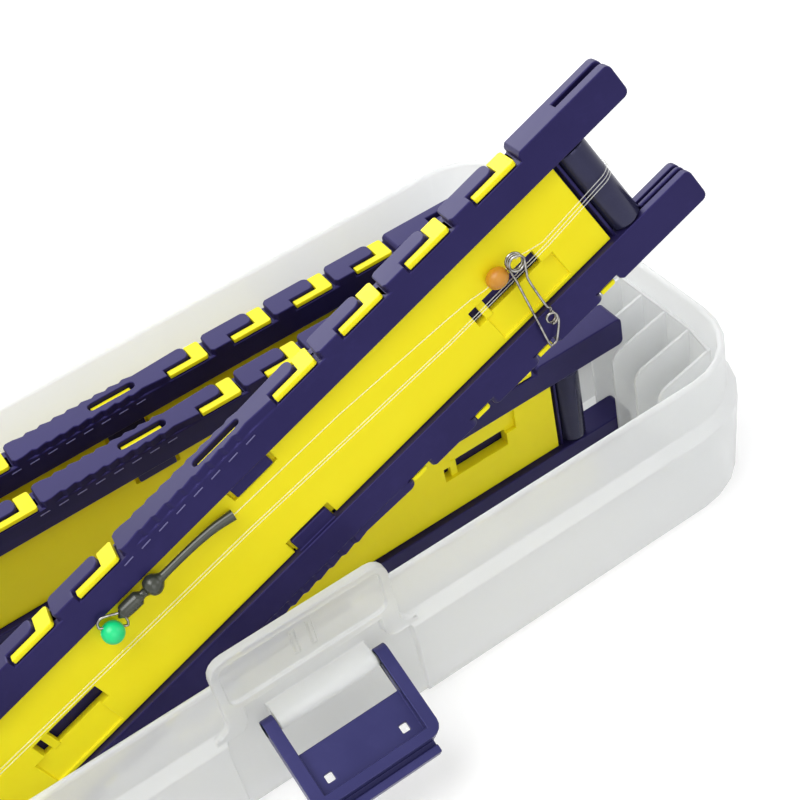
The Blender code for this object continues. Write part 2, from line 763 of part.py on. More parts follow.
def tub_shell():
    """Return the tub's shell: foot, wall, ledge, narrower collar, rim and inside."""
    shape = bmesh.new()
    shed = FOOT_ROUND * (1 - math.sqrt(0.5))
    foot = LEDGE_OUT - DRAFT
    edge = TUB_HEIGHT - LEDGE_EDGE_DROP
    inside = -WALL - INNER_DRAFT
    profile = (
        (foot - FOOT_ROUND, 0), (foot - shed, shed), (foot, FOOT_ROUND), (LEDGE_OUT, edge),
        (0, TUB_HEIGHT - LEDGE_TOP_DROP), (0, TUB_HEIGHT - RIM_ROUND), (-RIM_ROUND, TUB_HEIGHT),
        (RIM_ROUND - WALL, TUB_HEIGHT), (-WALL, TUB_HEIGHT - RIM_ROUND),
        (inside, FLOOR + INNER_ROUND), (inside - INNER_ROUND, FLOOR),
    )
    skin(shape, [rounded_ring(shape, grow, height) for grow, height in profile])
    return make_object("tub", shape)


def wall_reach(y, grow):
    """Return how far along X an end wall grown outwards reaches at y."""
    half_x = RIM_LENGTH / 2 + grow
    radius = CORNER_RADIUS + grow
    past = max(0, abs(y) - (RIM_WIDTH / 2 + grow - radius))
    return half_x - radius + math.sqrt(radius ** 2 - past ** 2)


def rib_middles():
    """Return where the ribs of a comb stand across the tub."""
    return [(number - (RIB_COUNT - 1) / 2) * SLOT_PITCH for number in range(RIB_COUNT)]


def comb_backing(side):
    """Return the comb's backing, which follows the end wall into its corners."""
    shape = bmesh.new()
    inside = -WALL - INNER_DRAFT
    outer = [(wall_reach(y + math.copysign(RIB_THICK, y), inside) - CLEAR, y) for y in rib_middles()]
    first, last = outer[0], outer[-1]
    outer[0] = (first[0], first[1] - RIB_THICK / 2)
    outer[-1] = (last[0], last[1] + RIB_THICK / 2)
    outline = outer + [(x - RIB_BACKING, y) for x, y in reversed(outer)]
    placed = [(side * x, y) for x, y in outline]
    prism(shape, placed, plan_view, FLOOR + INNER_ROUND + CLEAR, FLOOR + RIB_HEIGHT)
    return make_object("comb", shape)


def comb_ribs(side):
    """Return the ribs of one comb, their tops sloping up to the wall."""
    shape = bmesh.new()
    free = BOARD_LENGTH / 2 - RIB_GRIP
    low = FLOOR + CLEAR
    top = FLOOR + RIB_HEIGHT
    inside = -WALL - INNER_DRAFT
    for middle in rib_middles():
        root = wall_reach(abs(middle) + RIB_THICK, inside) - CLEAR - RIB_BACKING
        reach = root + RIB_BACKING / 2
        outline = [(free, low), (root, low), (root, low + INNER_ROUND), (reach, low + 2 * INNER_ROUND)]
        outline.append((reach, top))
        outline += arc((free + RIB_ROUND, top - RIB_RAMP - RIB_ROUND), RIB_ROUND, 115, 180, 3)
        placed = [(side * x, z) for x, z in outline]
        prism(shape, placed, side_view, middle - RIB_THICK / 2, middle + RIB_THICK / 2)
    return make_object("comb_ribs", shape)


def build_combs(material):
    """Add the comb of ribs inside each end wall."""
    for name, side in (("left_rib_comb", -1), ("right_rib_comb", 1)):
        comb = comb_backing(side)
        combine(comb, comb_ribs(side), "UNION")
        comb.name = name
        give_material(comb, material)


def bay_cut():
    """Return the cutter that sinks the bay into the lower wall, wider towards its round top."""
    shape = bmesh.new()
    front = -RIM_WIDTH / 2
    half = BAY_WIDTH / 2
    outline = [(-half, -OVERRUN), (half, -OVERRUN), (half, TUB_HEIGHT - LEDGE_EDGE_DROP - BAY_SIDE_ROUND)]
    top = TUB_HEIGHT - LEDGE_TOP_DROP + OVERRUN
    outline += [(half - BAY_SIDE_ROUND / 4, top), (-half + BAY_SIDE_ROUND / 4, top)]
    outline.append((-half, TUB_HEIGHT - LEDGE_EDGE_DROP - BAY_SIDE_ROUND))
    prism(shape, outline, side_view, front - LEDGE_OUT - OVERRUN, front)
    return make_object("bay_cut", shape)


def tub_additions():
    """Return the front tab with its side strips and the small bars under it."""
    shape = bmesh.new()
    front = -RIM_WIDTH / 2
    half = TAB_PLATE_WIDTH / 2
    top = TUB_HEIGHT + TAB_PLATE_RISE
    root = TUB_HEIGHT - TAB_PLATE_ROOT
    low = TUB_HEIGHT - LEDGE_EDGE_DROP
    inner = half - BAY_STRIP_WIDTH
    turn = BAY_SIDE_ROUND
    outline = [(-inner, low + turn), (-inner, root), (inner, root), (inner, low + turn)]
    outline += arc((inner + turn, low + turn), turn, 180, 250)
    outline += [(half + turn, low), (half + turn, low + turn / 2)]
    outline += arc((half + turn, low + turn + turn / 2), turn, 265, 180)
    outline += arc((half - TAB_PLATE_ROUND, top - TAB_PLATE_ROUND), TAB_PLATE_ROUND, 0, 90)
    mirrored = [(-x, z) for x, z in reversed(outline[4:])]
    near = front - BAY_STRIP_DEPTH
    prism(shape, outline + mirrored, side_view, near, near + TAB_PLATE_THICK)
    bar_low = TUB_HEIGHT - BAR_RIB_DROP
    for side in (-1, 1):
        ends = sorted((side * BAR_RIB_PLACE, side * (BAR_RIB_PLACE + BAR_RIB_LENGTH)))
        box(shape, (ends[0], front - TAB_RECESS_DEPTH, bar_low),
            (ends[1], front + WALL / 2, bar_low + TAB_RIB_WIDTH))
    return make_object("tub_additions", shape)


def tab_recess():
    """Return the cutter that leaves a bead round the front tab."""
    shape = bmesh.new()
    front = -RIM_WIDTH / 2
    half = TAB_PLATE_WIDTH / 2 - TAB_BEAD
    top = TUB_HEIGHT + TAB_PLATE_RISE - TAB_BEAD
    low = TUB_HEIGHT - TAB_PLATE_ROOT + TAB_BEAD
    outline = rounded_box_outline((-half, low), (half, top), TAB_PLATE_ROUND - TAB_BEAD)
    near = front - BAY_STRIP_DEPTH
    prism(shape, outline, side_view, near - OVERRUN, near + TAB_RECESS_DEPTH)
    return make_object("tab_recess", shape)


def pivot_place():
    """Return the middle of the latch's pivot axis."""
    return Vector((0, -RIM_WIDTH / 2 - PIVOT_OUT, TUB_HEIGHT - PIVOT_DROP))


def hinge_block():
    """Return the block with its two pins, and the small ribs of the tab."""
    shape = bmesh.new()
    pivot = pivot_place()
    wall = -RIM_WIDTH / 2 + WALL / 2
    half = BLOCK_LENGTH / 2
    outline = arc((pivot.y, pivot.z), BLOCK_RADIUS, 90, 270, 6)
    outline += [(wall, pivot.z - BLOCK_RADIUS), (wall, pivot.z + BLOCK_RADIUS)]
    prism(shape, outline, end_view, -half, half)
    return make_object("hinge_block", shape)


def hinge_pins():
    """Return the two pins on the block's ends and the pair of ribs on the tab."""
    shape = bmesh.new()
    pivot = pivot_place()
    half = BLOCK_LENGTH / 2
    for side in (-1, 1):
        start = Vector((side * (half - OVERRUN), pivot.y, pivot.z))
        turned(shape, ((0, PIN_RADIUS), (OVERRUN + PIN_LENGTH, PIN_RADIUS)),
               start, Vector((side, 0, 0)), PIN_SIDES)
    front = -RIM_WIDTH / 2
    low = TUB_HEIGHT - TAB_RIB_HEIGHT / 2
    for side in (-1, 1):
        middle = side * TAB_RIB_SPACE / 2
        box(shape, (middle - TAB_RIB_WIDTH / 2, front - TAB_RECESS_DEPTH, low),
            (middle + TAB_RIB_WIDTH / 2, front + WALL / 2, low + TAB_RIB_HEIGHT))
    return make_object("hinge_pins", shape)


def build_tub(material):
    """Add the tub."""
    tub = tub_shell()
    combine(tub, bay_cut(), "DIFFERENCE")
    combine(tub, tub_additions(), "UNION")
    combine(tub, tab_recess(), "DIFFERENCE")
    combine(tub, hinge_block(), "UNION")
    combine(tub, hinge_pins(), "UNION")
    tub.data.shade_smooth()
    tub.data.set_sharp_from_angle(angle=math.radians(35))
    give_material(tub, material)


def latch_frame():
    """Return the latch's rim: a rounded plate with its arms' room still closed."""
    shape = bmesh.new()
    half = BLOCK_LENGTH / 2 + CLEAR + ARM_WIDTH
    low = -LATCH_LENGTH
    outline = arc((half - LATCH_ROUND, low + LATCH_ROUND), LATCH_ROUND, -90, 0)
    outline += [(half, 0), (-half, 0)]
    outline += arc((-half + LATCH_ROUND, low + LATCH_ROUND), LATCH_ROUND, 180, 270)
    prism(shape, outline, plan_view, -ARM_RADIUS, ARM_RADIUS)
    return make_object("latch", shape)


def latch_arms():
    """Return the round ends of the two arms."""
    shape = bmesh.new()
    inner = BLOCK_LENGTH / 2 + CLEAR
    for side in (-1, 1):
        start = Vector((side * inner, 0, 0))
        turned(shape, ((0, ARM_RADIUS), (ARM_WIDTH, ARM_RADIUS)), start, Vector((side, 0, 0)), 16)
    return make_object("latch_arms", shape)


def latch_opening():
    """Return the room between the arms, for the block and for the panel's recess."""
    shape = bmesh.new()
    inner = BLOCK_LENGTH / 2 + CLEAR
    box(shape, (-inner, -LATCH_PANEL_START, -ARM_RADIUS - OVERRUN), (inner, OVERRUN, ARM_RADIUS + OVERRUN))
    return make_object("latch_opening", shape)


def latch_recess():
    """Return the recess over the panel."""
    shape = bmesh.new()
    inner = BLOCK_LENGTH / 2 + CLEAR
    box(shape, (-inner, -LATCH_LENGTH + LATCH_BORDER, -ARM_RADIUS + LATCH_PANEL_THICK),
        (inner, -LATCH_PANEL_START + OVERRUN, ARM_RADIUS + OVERRUN))
    return make_object("latch_recess", shape)


def latch_lip():
    """Return the finger lip beyond the groove at the latch's outer end."""
    shape = bmesh.new()
    half = BLOCK_LENGTH / 2 + CLEAR + ARM_WIDTH - LIP_INSET
    border = -LATCH_LENGTH + LATCH_BORDER / 2
    bottom = -ARM_RADIUS - LIP_DROP
    groove_out = -LATCH_LENGTH - LIP_GROOVE
    lip_out = groove_out - LIP_THICK
    floor = bottom + LIP_DROP + OVERLAP
    outline = ((border, floor), (border, bottom), (lip_out, bottom), (lip_out, bottom + LIP_HEIGHT),
               (groove_out, bottom + LIP_HEIGHT), (groove_out, floor))
    prism(shape, outline, end_view, -half, half)
    return make_object("latch_lip", shape)


def latch_holes():
    """Return the two square holes and the pin bores."""
    shape = bmesh.new()
    inner = BLOCK_LENGTH / 2 + CLEAR
    out = -LATCH_LENGTH + LATCH_BORDER + LATCH_HOLE
    for side in (-1, 1):
        reach = inner - LATCH_HOLE_INSET
        low, high = sorted((side * (reach - LATCH_HOLE), side * reach))
        box(shape, (low, out, -ARM_RADIUS - OVERRUN), (high, out + LATCH_HOLE, 0))
        start = Vector((side * (inner - OVERRUN), 0, 0))
        turned(shape, ((0, PIN_RADIUS + CLEAR), (OVERRUN + ARM_WIDTH + OVERRUN, PIN_RADIUS + CLEAR)),
               start, Vector((side, 0, 0)), PIN_SIDES)
    return make_object("latch_holes", shape)


def build_latch(material):
    """Add the latch on its pivot, swung out and down."""
    latch = latch_frame()
    combine(latch, latch_arms(), "UNION")
    combine(latch, latch_opening(), "DIFFERENCE")
    combine(latch, latch_recess(), "DIFFERENCE")
    combine(latch, latch_lip(), "UNION")
    combine(latch, latch_holes(), "DIFFERENCE")
    latch.data.shade_smooth()
    latch.data.set_sharp_from_angle(angle=math.radians(35))
    latch.location = pivot_place()
    latch.rotation_euler = (-LATCH_OPEN_ANGLE, 0, 0)
    give_material(latch, material)


def rig_point(share, depth):
    """Return a place on the board from its shares, depth out of the front face."""
    return Vector((share[0] * BOARD_LENGTH, -depth, share[1] * BOARD_HEIGHT))


def held_tube(name, points, radius, carrier, material):
    """Add a line or a wire as one tube along its points."""
    curve = bpy.data.curves.new(name, "CURVE")
    curve.dimensions = "3D"
    spline = curve.splines.new("POLY")
    spline.points.add(len(points) - 1)
    for target, point in zip(spline.points, points):
        target.co = (*point, 1)
    curve.bevel_depth = radius
    curve.bevel_resolution = 1
    curve.use_fill_caps = True
    item = bpy.data.objects.new(name, curve)
    bpy.context.scene.collection.objects.link(item)
    item.parent = carrier
    curve.materials.append(material)
    return item


def fine_points(points, step):
    """Return a route with points no further apart than step."""
    fine = [points[0]]
    for first, second in zip(points, points[1:]):
        count = max(1, math.ceil((second - first).length / step))
        fine += [first.lerp(second, (index + 1) / count) for index in range(count)]
    return fine


def least_gap(first, second, radius, apart):
    """Return the least gap between two routes, near points of one route left out."""
    least = BOARD_LENGTH
    for index, point in enumerate(first):
        for other, place in enumerate(second):
            if first is second and other - index < apart:
                continue
            least = min(least, (point - place).length - 2 * radius)
    return least


def bar_turn(side, share, turns, steps, fall=0):
    """Return points round a line bar, from the front for the right one."""
    points = []
    for index in range(steps + 1):
        part = index / steps
        angle = side * math.pi * (2 * turns * part - 1 / 2)
        x = side * BAR_PLACE + LINE_PLANE * math.cos(angle) * side
        height = (share + fall * part) * BOARD_HEIGHT
        points.append(Vector((x, LINE_PLANE * math.sin(angle), height)))
    return points


def leader_points():
    """Return the route of the leader, wound lengthwise round both bars."""
    strands = (FIRST_STRAND_SHARES, SECOND_STRAND_SHARES, None)
    points = [rig_point(share, LINE_PLANE) for share in LEADER_START_SHARES]
    for right, left, strand in zip(RIGHT_BAR_SHARES, LEFT_BAR_SHARES, strands):
        points += bar_turn(1, right, 1 / 2, LINE_ARC_STEPS)
        if strand:
            points += bar_turn(-1, left, 1 / 2, LINE_ARC_STEPS)
            points += [rig_point(share, LINE_PLANE) for share in strand]
        else:
            points += bar_turn(-1, left, 5 / 4, END_TURN_STEPS, END_TURN_SHARE)
    return points


def hook_link_points():
    """Return the route of the hook link, from the seat through the lead bead."""
    first, last = HOOK_LINK_SHARES[0][0], HOOK_LINK_SHARES[-2][0]
    points = []
    for share in HOOK_LINK_SHARES:
        part = min(1, (share[0] - first) / (last - first))
        points.append(rig_point(share, MOUTH_PLANE + (LINE_PLANE - MOUTH_PLANE) * part))
    return points


def add_lines(carrier, material):
    """Add the leader and the hook link, and print how far their turns stay apart."""
    leader = leader_points()
    link = hook_link_points()
    held_tube("leader_line", leader, LINE_RADIUS, carrier, material)
    held_tube("hook_link", link, LINE_RADIUS, carrier, material)
    step = LINE_RADIUS * 4
    fine = fine_points(leader, step)
    apart = math.ceil(2 * LINE_PLANE / step)
    print("least gap in the leader", round(least_gap(fine, fine, LINE_RADIUS, apart), 6))
    print("least gap to the link", round(least_gap(fine, fine_points(link, step), LINE_RADIUS, 0), 6))


def coil_points(share, radius, depth, start, turns, steps):
    """Return points of a coil that steps away from the board."""
    middle = rig_point(share, depth)
    points = []
    for index in range(steps + 1):
        part = index / steps
        angle = start - 2 * math.pi * turns * part
        rise = -COIL_STEP * abs(turns) * part
        points.append(middle + Vector((radius * math.cos(angle), rise, radius * math.sin(angle))))
    return points


def add_snap(carrier, material):
    """Add the wire snap: hooked leg, coil, second leg and clasp coil."""
    points = [rig_point(share, LEG_PLANE) for share in HOOK_LEG_SHARES]
    steps = int(COIL_TURNS * COIL_TURN_STEPS)
    points += coil_points(COIL_SHARE, COIL_RADIUS, LEG_PLANE, math.pi, COIL_TURNS, steps)
    far = LEG_PLANE + COIL_STEP * COIL_TURNS
    near = LEG_PLANE + COIL_STEP
    last = len(CLASP_LEG_SHARES)
    for index, share in enumerate(CLASP_LEG_SHARES):
        points.append(rig_point(share, far + (near - far) * (index + 1) / last))
    points += coil_points(CLASP_SHARE, CLASP_RADIUS, near, math.pi / 4, 3 / 2, COIL_TURN_STEPS * 2)
    held_tube("snap_link", points, WIRE_RADIUS, carrier, material)


def swept(shape, points, radii, sides):
    """Add a round piece along a route, with a radius at each point."""
    rings = []
    for index, point in enumerate(points):
        before = points[max(0, index - 1)]
        after = points[min(len(points) - 1, index + 1)]
        along = (after - before).normalized()
        across = along.cross(Vector((0, 0, 1))).normalized()
        rings.append(tube_ring(shape, point, radii[index], sides, across, across.cross(along)))
    skin(shape, rings)


def drill(name, start, end, radius):
    """Return a round cutter from start to end."""
    shape = bmesh.new()
    along = end - start
    turned(shape, ((0, radius), (along.length, radius)), start, along, RIG_SIDES)
    return make_object(name, shape)


def rig_piece(item, carrier, material):
    """Shade a finished rig piece and hang it on the board."""
    item.data.shade_smooth()
    item.data.set_sharp_from_angle(angle=math.radians(35))
    item.parent = carrier
    give_material(item, material)


def seat_points():
    """Return the float seat's route: its ball lies on the plate, its mouth slopes down to it."""
    ball = next(row[0] for row in SEAT_SHARES if row[2] == 1)
    mouth = SEAT_SHARES[-1][0]
    points = []
    for along, up, _ in SEAT_SHARES:
        part = max(0, (along - ball) / (mouth - ball))
        points.append(rig_point((along, up), SEAT_PLANE + (MOUTH_PLANE - SEAT_PLANE) * part))
    return points


def add_seat(carrier, material):
    """Add the rubber float seat with bores for the hoop's ends and for the link."""
    shape = bmesh.new()
    points = seat_points()
    swept(shape, points, [SEAT_BALL_RADIUS * row[2] for row in SEAT_SHARES], RIG_SIDES)
    seat = make_object("float_seat", shape)
    bore = WIRE_RADIUS + WIRE_CLEAR
    for share in (HOOP_SHARES[0], HOOP_SHARES[-1]):
        start = rig_point(share, SEAT_PLANE) + Vector((CLEAR, 0, 0))
        end = start - Vector((SEAT_BORE_LENGTH, 0, 0))
        combine(seat, drill("hoop_bore", start, end, bore), "DIFFERENCE")
    outward = (points[-1] - points[-2]).normalized()
    start = points[-1] - outward * SEAT_BORE_LENGTH
    tool = drill("line_bore", start, points[-1] + outward * OVERRUN, LINE_RADIUS + CLEAR)
    combine(seat, tool, "DIFFERENCE")
    rig_piece(seat, carrier, material)


def bead(name, middle, radius, half):
    """Return a bead that is turned along the board."""
    shape = bmesh.new()
    stations = []
    for index in range(1, BEAD_RINGS):
        angle = math.pi * index / BEAD_RINGS
        stations.append((half - half * math.cos(angle), radius * math.sin(angle)))
    turned(shape, stations, middle - Vector((half, 0, 0)), Vector((1, 0, 0)), RIG_SIDES + 2)
    return make_object(name, shape)


def add_beads(carrier, stop_material, lead_material):
    """Add the stop bead on the hoop and the lead bead on the link."""
    stop = bead("stop_bead", rig_point(STOP_BEAD_SHARE, SEAT_PLANE), STOP_BEAD_RADIUS, STOP_BEAD_RADIUS)
    first, last = [rig_point(share, SEAT_PLANE) for share in HOOP_SHARES[7:9]]
    reach = (last - first) / 2
    combine(stop, drill("stop_bore", first - reach, last + reach, WIRE_RADIUS + WIRE_CLEAR), "DIFFERENCE")
    rig_piece(stop, carrier, stop_material)
    middle = rig_point(LEAD_BEAD_SHARE, LINE_PLANE)
    lead = bead("lead_bead", middle, LEAD_BEAD_RADIUS, LEAD_BEAD_HALF)
    reach = Vector((LEAD_BEAD_HALF + OVERRUN, 0, 0))
    combine(lead, drill("lead_bore", middle - reach, middle + reach, LINE_RADIUS + CLEAR), "DIFFERENCE")
    rig_piece(lead, carrier, lead_material)


def add_rig(carrier):
    """Add the rig that the raised board holds."""
    line = make_material("clear_line", (0.80, 0.82, 0.80), 0.2)
    steel = make_material("steel_wire", (0.55, 0.55, 0.56), 0.25)
    steel.node_tree.nodes["Principled BSDF"].inputs["Metallic"].default_value = 1
    rubber = make_material("olive_rubber", (0.05, 0.06, 0.04), 0.6)
    green = make_material("green_bead", (0.01, 0.62, 0.22), 0.4)
    orange = make_material("orange_bead", (0.72, 0.22, 0.02), 0.4)
    add_lines(carrier, line)
    add_snap(carrier, steel)
    add_seat(carrier, rubber)
    hoop = [rig_point(share, SEAT_PLANE) for share in HOOP_SHARES]
    held_tube("bead_link", hoop, WIRE_RADIUS, carrier, steel)
    add_beads(carrier, green, orange)


def main():
    """Build the whole box."""
    clear_scene()
    clear_poly = make_material("frosted_polypropylene", (0.80, 0.83, 0.82), 0.42, 0.55)
    purple = make_material("purple_plastic", (0.055, 0.045, 0.16), 0.45)
    latch_purple = make_material("latch_plastic", (0.075, 0.07, 0.23), 0.4)
    yellow = make_material("yellow_plastic", (0.86, 0.74, 0.02), 0.45)
    slate = make_material("slate_plastic", (0.035, 0.038, 0.06), 0.3)
    build_tub(clear_poly)
    build_combs(clear_poly)
    build_latch(latch_purple)
    bar = build_bar_mesh()
    low = {"frame": build_frame_mesh(False), "core": build_core_mesh(False), "bar": bar}
    high = {"frame": build_frame_mesh(True), "core": build_core_mesh(True), "bar": bar}
    materials = {"frame": purple, "core": yellow, "bar": slate}
    seats = (("rear_board", REAR_SLOT, low), ("second_board", SECOND_SLOT, low),
             ("front_board", FRONT_SLOT, high))
    for name, number, meshes in seats:
        add_board(name, seated_matrix(number), meshes, materials)
    add_rig(add_board("raised_board", raised_matrix(), low, materials))


main()
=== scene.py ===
"""Looks of the tackle box: every moulding with soft edges, its rig, the stage and the camera.

All lengths are metres in the part's own frame. The origin lies under the middle of
the tub's base, +X along the length, +Y to the rear, +Z up.
"""
import sys

import logging
import math
from dataclasses import dataclass, field
from enum import Enum

import bmesh
import bpy
from mathutils import Matrix, Vector


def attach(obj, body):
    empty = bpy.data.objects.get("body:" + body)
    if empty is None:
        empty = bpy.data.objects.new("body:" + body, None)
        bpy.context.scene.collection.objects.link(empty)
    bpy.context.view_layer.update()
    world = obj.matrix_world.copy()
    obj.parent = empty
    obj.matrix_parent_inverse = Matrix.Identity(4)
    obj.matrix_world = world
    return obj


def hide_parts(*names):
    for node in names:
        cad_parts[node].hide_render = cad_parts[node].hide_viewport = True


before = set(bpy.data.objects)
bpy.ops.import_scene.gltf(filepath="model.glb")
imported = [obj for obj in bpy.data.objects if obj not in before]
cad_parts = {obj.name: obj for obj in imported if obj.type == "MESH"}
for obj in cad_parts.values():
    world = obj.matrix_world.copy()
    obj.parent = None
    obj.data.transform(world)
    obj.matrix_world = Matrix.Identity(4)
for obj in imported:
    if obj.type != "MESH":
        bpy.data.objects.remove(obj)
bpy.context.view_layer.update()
log = logging.getLogger("tackle_box")

Number = float | bpy.types.NodeSocket
Colour = tuple | bpy.types.NodeSocket

MERGE_DISTANCE = 0.000001  # points nearer than this are made one
BUMP_STRENGTH = 0.6
COAT_ROUGHNESS = 0.2


class Slot(Enum):
    """Names of the record's material slots."""

    TUB = "tub_clear"
    LATCH = "latch_violet"
    FRAME = "frame_violet"
    CORE = "core_yellow"
    BAR = "bar_slate"
    LINE = "line_clear"
    WIRE = "wire_steel"
    SEAT = "seat_rubber"
    STOP = "bead_green"
    LEAD = "bead_orange"


class Side(Enum):
    """End of a board or of the tub."""

    LEFT = -1
    RIGHT = 1


# ---------------------------------------------------------------- node groups

GROUP_OUTPUTS = (("Colour", "NodeSocketColor"), ("Roughness", "NodeSocketFloat"),
                 ("Height", "NodeSocketFloat"))


def new_group(name: str, inputs: tuple, outputs: tuple) -> bpy.types.NodeTree:
    """Start a shader node group.

    Args:
        name: Name of the group.
        inputs: Rows of name, socket type and value.
        outputs: Rows of name and socket type.

    Returns:
        The group with its input and output nodes in place.
    """
    tree = bpy.data.node_groups.new(name, "ShaderNodeTree")
    for label, kind, value in inputs:
        socket = tree.interface.new_socket(label, in_out="INPUT", socket_type=kind)
        socket.default_value = value
    for label, kind in outputs:
        tree.interface.new_socket(label, in_out="OUTPUT", socket_type=kind)
    tree.nodes.new("NodeGroupInput").name = "in"
    tree.nodes.new("NodeGroupOutput").name = "out"
    return tree


def noise(tree: bpy.types.NodeTree, scale: float, detail: float = 3.0,
          roughness: float = 0.5) -> bpy.types.Node:
    """Add a noise that reads the group's vector input.

    Args:
        tree: The group.
        scale: Waves in a metre.
        detail: Number of finer layers.
        roughness: Share of the finer layers.

    Returns:
        The noise node.
    """
    node = tree.nodes.new("ShaderNodeTexNoise")
    node.inputs["Scale"].default_value = scale
    node.inputs["Detail"].default_value = detail
    node.inputs["Roughness"].default_value = roughness
    tree.links.new(tree.nodes["in"].outputs["Vector"], node.inputs["Vector"])
    return node


def ramp_between(tree: bpy.types.NodeTree, source: bpy.types.NodeSocket, low: float,
                 high: float) -> bpy.types.NodeSocket:
    """Map a value onto 0 to 1.

    Args:
        tree: The node tree.
        source: The value.
        low: Where the result is 0.
        high: Where the result is 1.

    Returns:
        The socket with the result.
    """
    node = tree.nodes.new("ShaderNodeMapRange")
    node.inputs["From Min"].default_value = low
    node.inputs["From Max"].default_value = high
    tree.links.new(source, node.inputs["Value"])
    return node.outputs["Result"]


def math_node(tree: bpy.types.NodeTree, operation: str, first: Number,
              second: Number) -> bpy.types.NodeSocket:
    """Join two values by a math node.

    Args:
        tree: The node tree.
        operation: Blender's name of the operation.
        first: A socket or a number.
        second: A socket or a number.

    Returns:
        The socket with the result.
    """
    node = tree.nodes.new("ShaderNodeMath")
    node.operation = operation
    for socket, value in zip(node.inputs, (first, second)):
        if isinstance(value, (int, float)):
            socket.default_value = value
        else:
            tree.links.new(value, socket)
    return node.outputs[0]


def mix_colour(tree: bpy.types.NodeTree, factor: Number, first: Colour,
               second: Colour) -> bpy.types.NodeSocket:
    """Mix two colours.

    Args:
        tree: The node tree.
        factor: Share of the second colour, a socket or a number.
        first: A socket or three linear values.
        second: A socket or three linear values.

    Returns:
        The socket with the mixed colour.
    """
    node = tree.nodes.new("ShaderNodeMix")
    node.data_type = "RGBA"
    pairs = ((node.inputs[0], factor), (node.inputs[6], first), (node.inputs[7], second))
    for socket, value in pairs:
        if isinstance(value, bpy.types.NodeSocket):
            tree.links.new(value, socket)
        elif isinstance(value, (int, float)):
            socket.default_value = value
        else:
            socket.default_value = (*value, 1.0)
    return node.outputs[2]


def moulding_group() -> bpy.types.NodeTree:
    """Build the look of moulded plastic: cloudy colour, fine spark texture, rubbed patches.

    Returns:
        A group that puts out a colour, a roughness and a height.
    """
    tree = new_group(
        "moulded_plastic",
        (("Vector", "NodeSocketVector", (0, 0, 0)),
         ("Colour", "NodeSocketColor", (0.5, 0.5, 0.5, 1)),
         ("Rubbed", "NodeSocketColor", (0.6, 0.6, 0.6, 1)),
         ("Roughness", "NodeSocketFloat", 0.4),
         ("Rubbing", "NodeSocketFloat", 0.3)),
        GROUP_OUTPUTS,
    )
    source = tree.nodes["in"].outputs
    target = tree.nodes["out"].inputs
    cloud = noise(tree, 55, 4)  # uneven pigment
    grain = noise(tree, 5200, 2, 0.6)  # spark texture of the mould
    patch = noise(tree, 190, 6, 0.65)  # rubbed places
    scratch = tree.nodes.new("ShaderNodeTexNoise")  # fine lines along the piece
    scratch.inputs["Scale"].default_value = 420
    scratch.inputs["Detail"].default_value = 2
    stretch = tree.nodes.new("ShaderNodeMapping")
    stretch.inputs["Scale"].default_value = (0.08, 1, 1.4)
    tree.links.new(source["Vector"], stretch.inputs["Vector"])
    tree.links.new(stretch.outputs["Vector"], scratch.inputs["Vector"])
    patches = ramp_between(tree, patch.outputs["Fac"], 0.56, 0.74)
    rub = math_node(tree, "MULTIPLY", patches, source["Rubbing"])
    lines = ramp_between(tree, scratch.outputs["Fac"], 0.66, 0.74)
    line = math_node(tree, "MULTIPLY", lines, source["Rubbing"])
    worn = math_node(tree, "MAXIMUM", rub, math_node(tree, "MULTIPLY", line, 0.5))
    clouds = ramp_between(tree, cloud.outputs["Fac"], 0.3, 0.75)
    shade = mix_colour(tree, clouds, source["Colour"], source["Rubbed"])
    body = mix_colour(tree, 0.22, source["Colour"], shade)
    tree.links.new(mix_colour(tree, worn, body, source["Rubbed"]), target["Colour"])
    rough = math_node(tree, "ADD", source["Roughness"], math_node(tree, "MULTIPLY", worn, 0.25))
    swing = math_node(tree, "SUBTRACT", cloud.outputs["Fac"], 0.5)
    drift = math_node(tree, "MULTIPLY", swing, 0.16)
    tree.links.new(math_node(tree, "ADD", rough, drift), target["Roughness"])
    wear = math_node(tree, "MULTIPLY", patch.outputs["Fac"], 1.2)
    tree.links.new(math_node(tree, "ADD", grain.outputs["Fac"], wear), target["Height"])
    return tree


def wire_group() -> bpy.types.NodeTree:
    """Build the look of drawn wire: fine lines, darker heat-tinted stretches.

    Returns:
        A group that puts out a colour, a roughness and a height.
    """
    tree = new_group(
        "drawn_wire",
        (("Vector", "NodeSocketVector", (0, 0, 0)),
         ("Bright", "NodeSocketColor", (0.7, 0.7, 0.7, 1)),
         ("Dark", "NodeSocketColor", (0.2, 0.2, 0.2, 1)),
         ("Roughness", "NodeSocketFloat", 0.25)),
        GROUP_OUTPUTS,
    )
    source = tree.nodes["in"].outputs
    target = tree.nodes["out"].inputs
    tint = noise(tree, 700, 3)
    fine = noise(tree, 9000, 2)
    factor = ramp_between(tree, tint.outputs["Fac"], 0.42, 0.7)
    tree.links.new(mix_colour(tree, factor, source["Bright"], source["Dark"]), target["Colour"])
    rough = math_node(tree, "ADD", source["Roughness"], math_node(tree, "MULTIPLY", factor, 0.15))
    tree.links.new(rough, target["Roughness"])
    tree.links.new(fine.outputs["Fac"], target["Height"])
    return tree


# ---------------------------------------------------------------- finishes


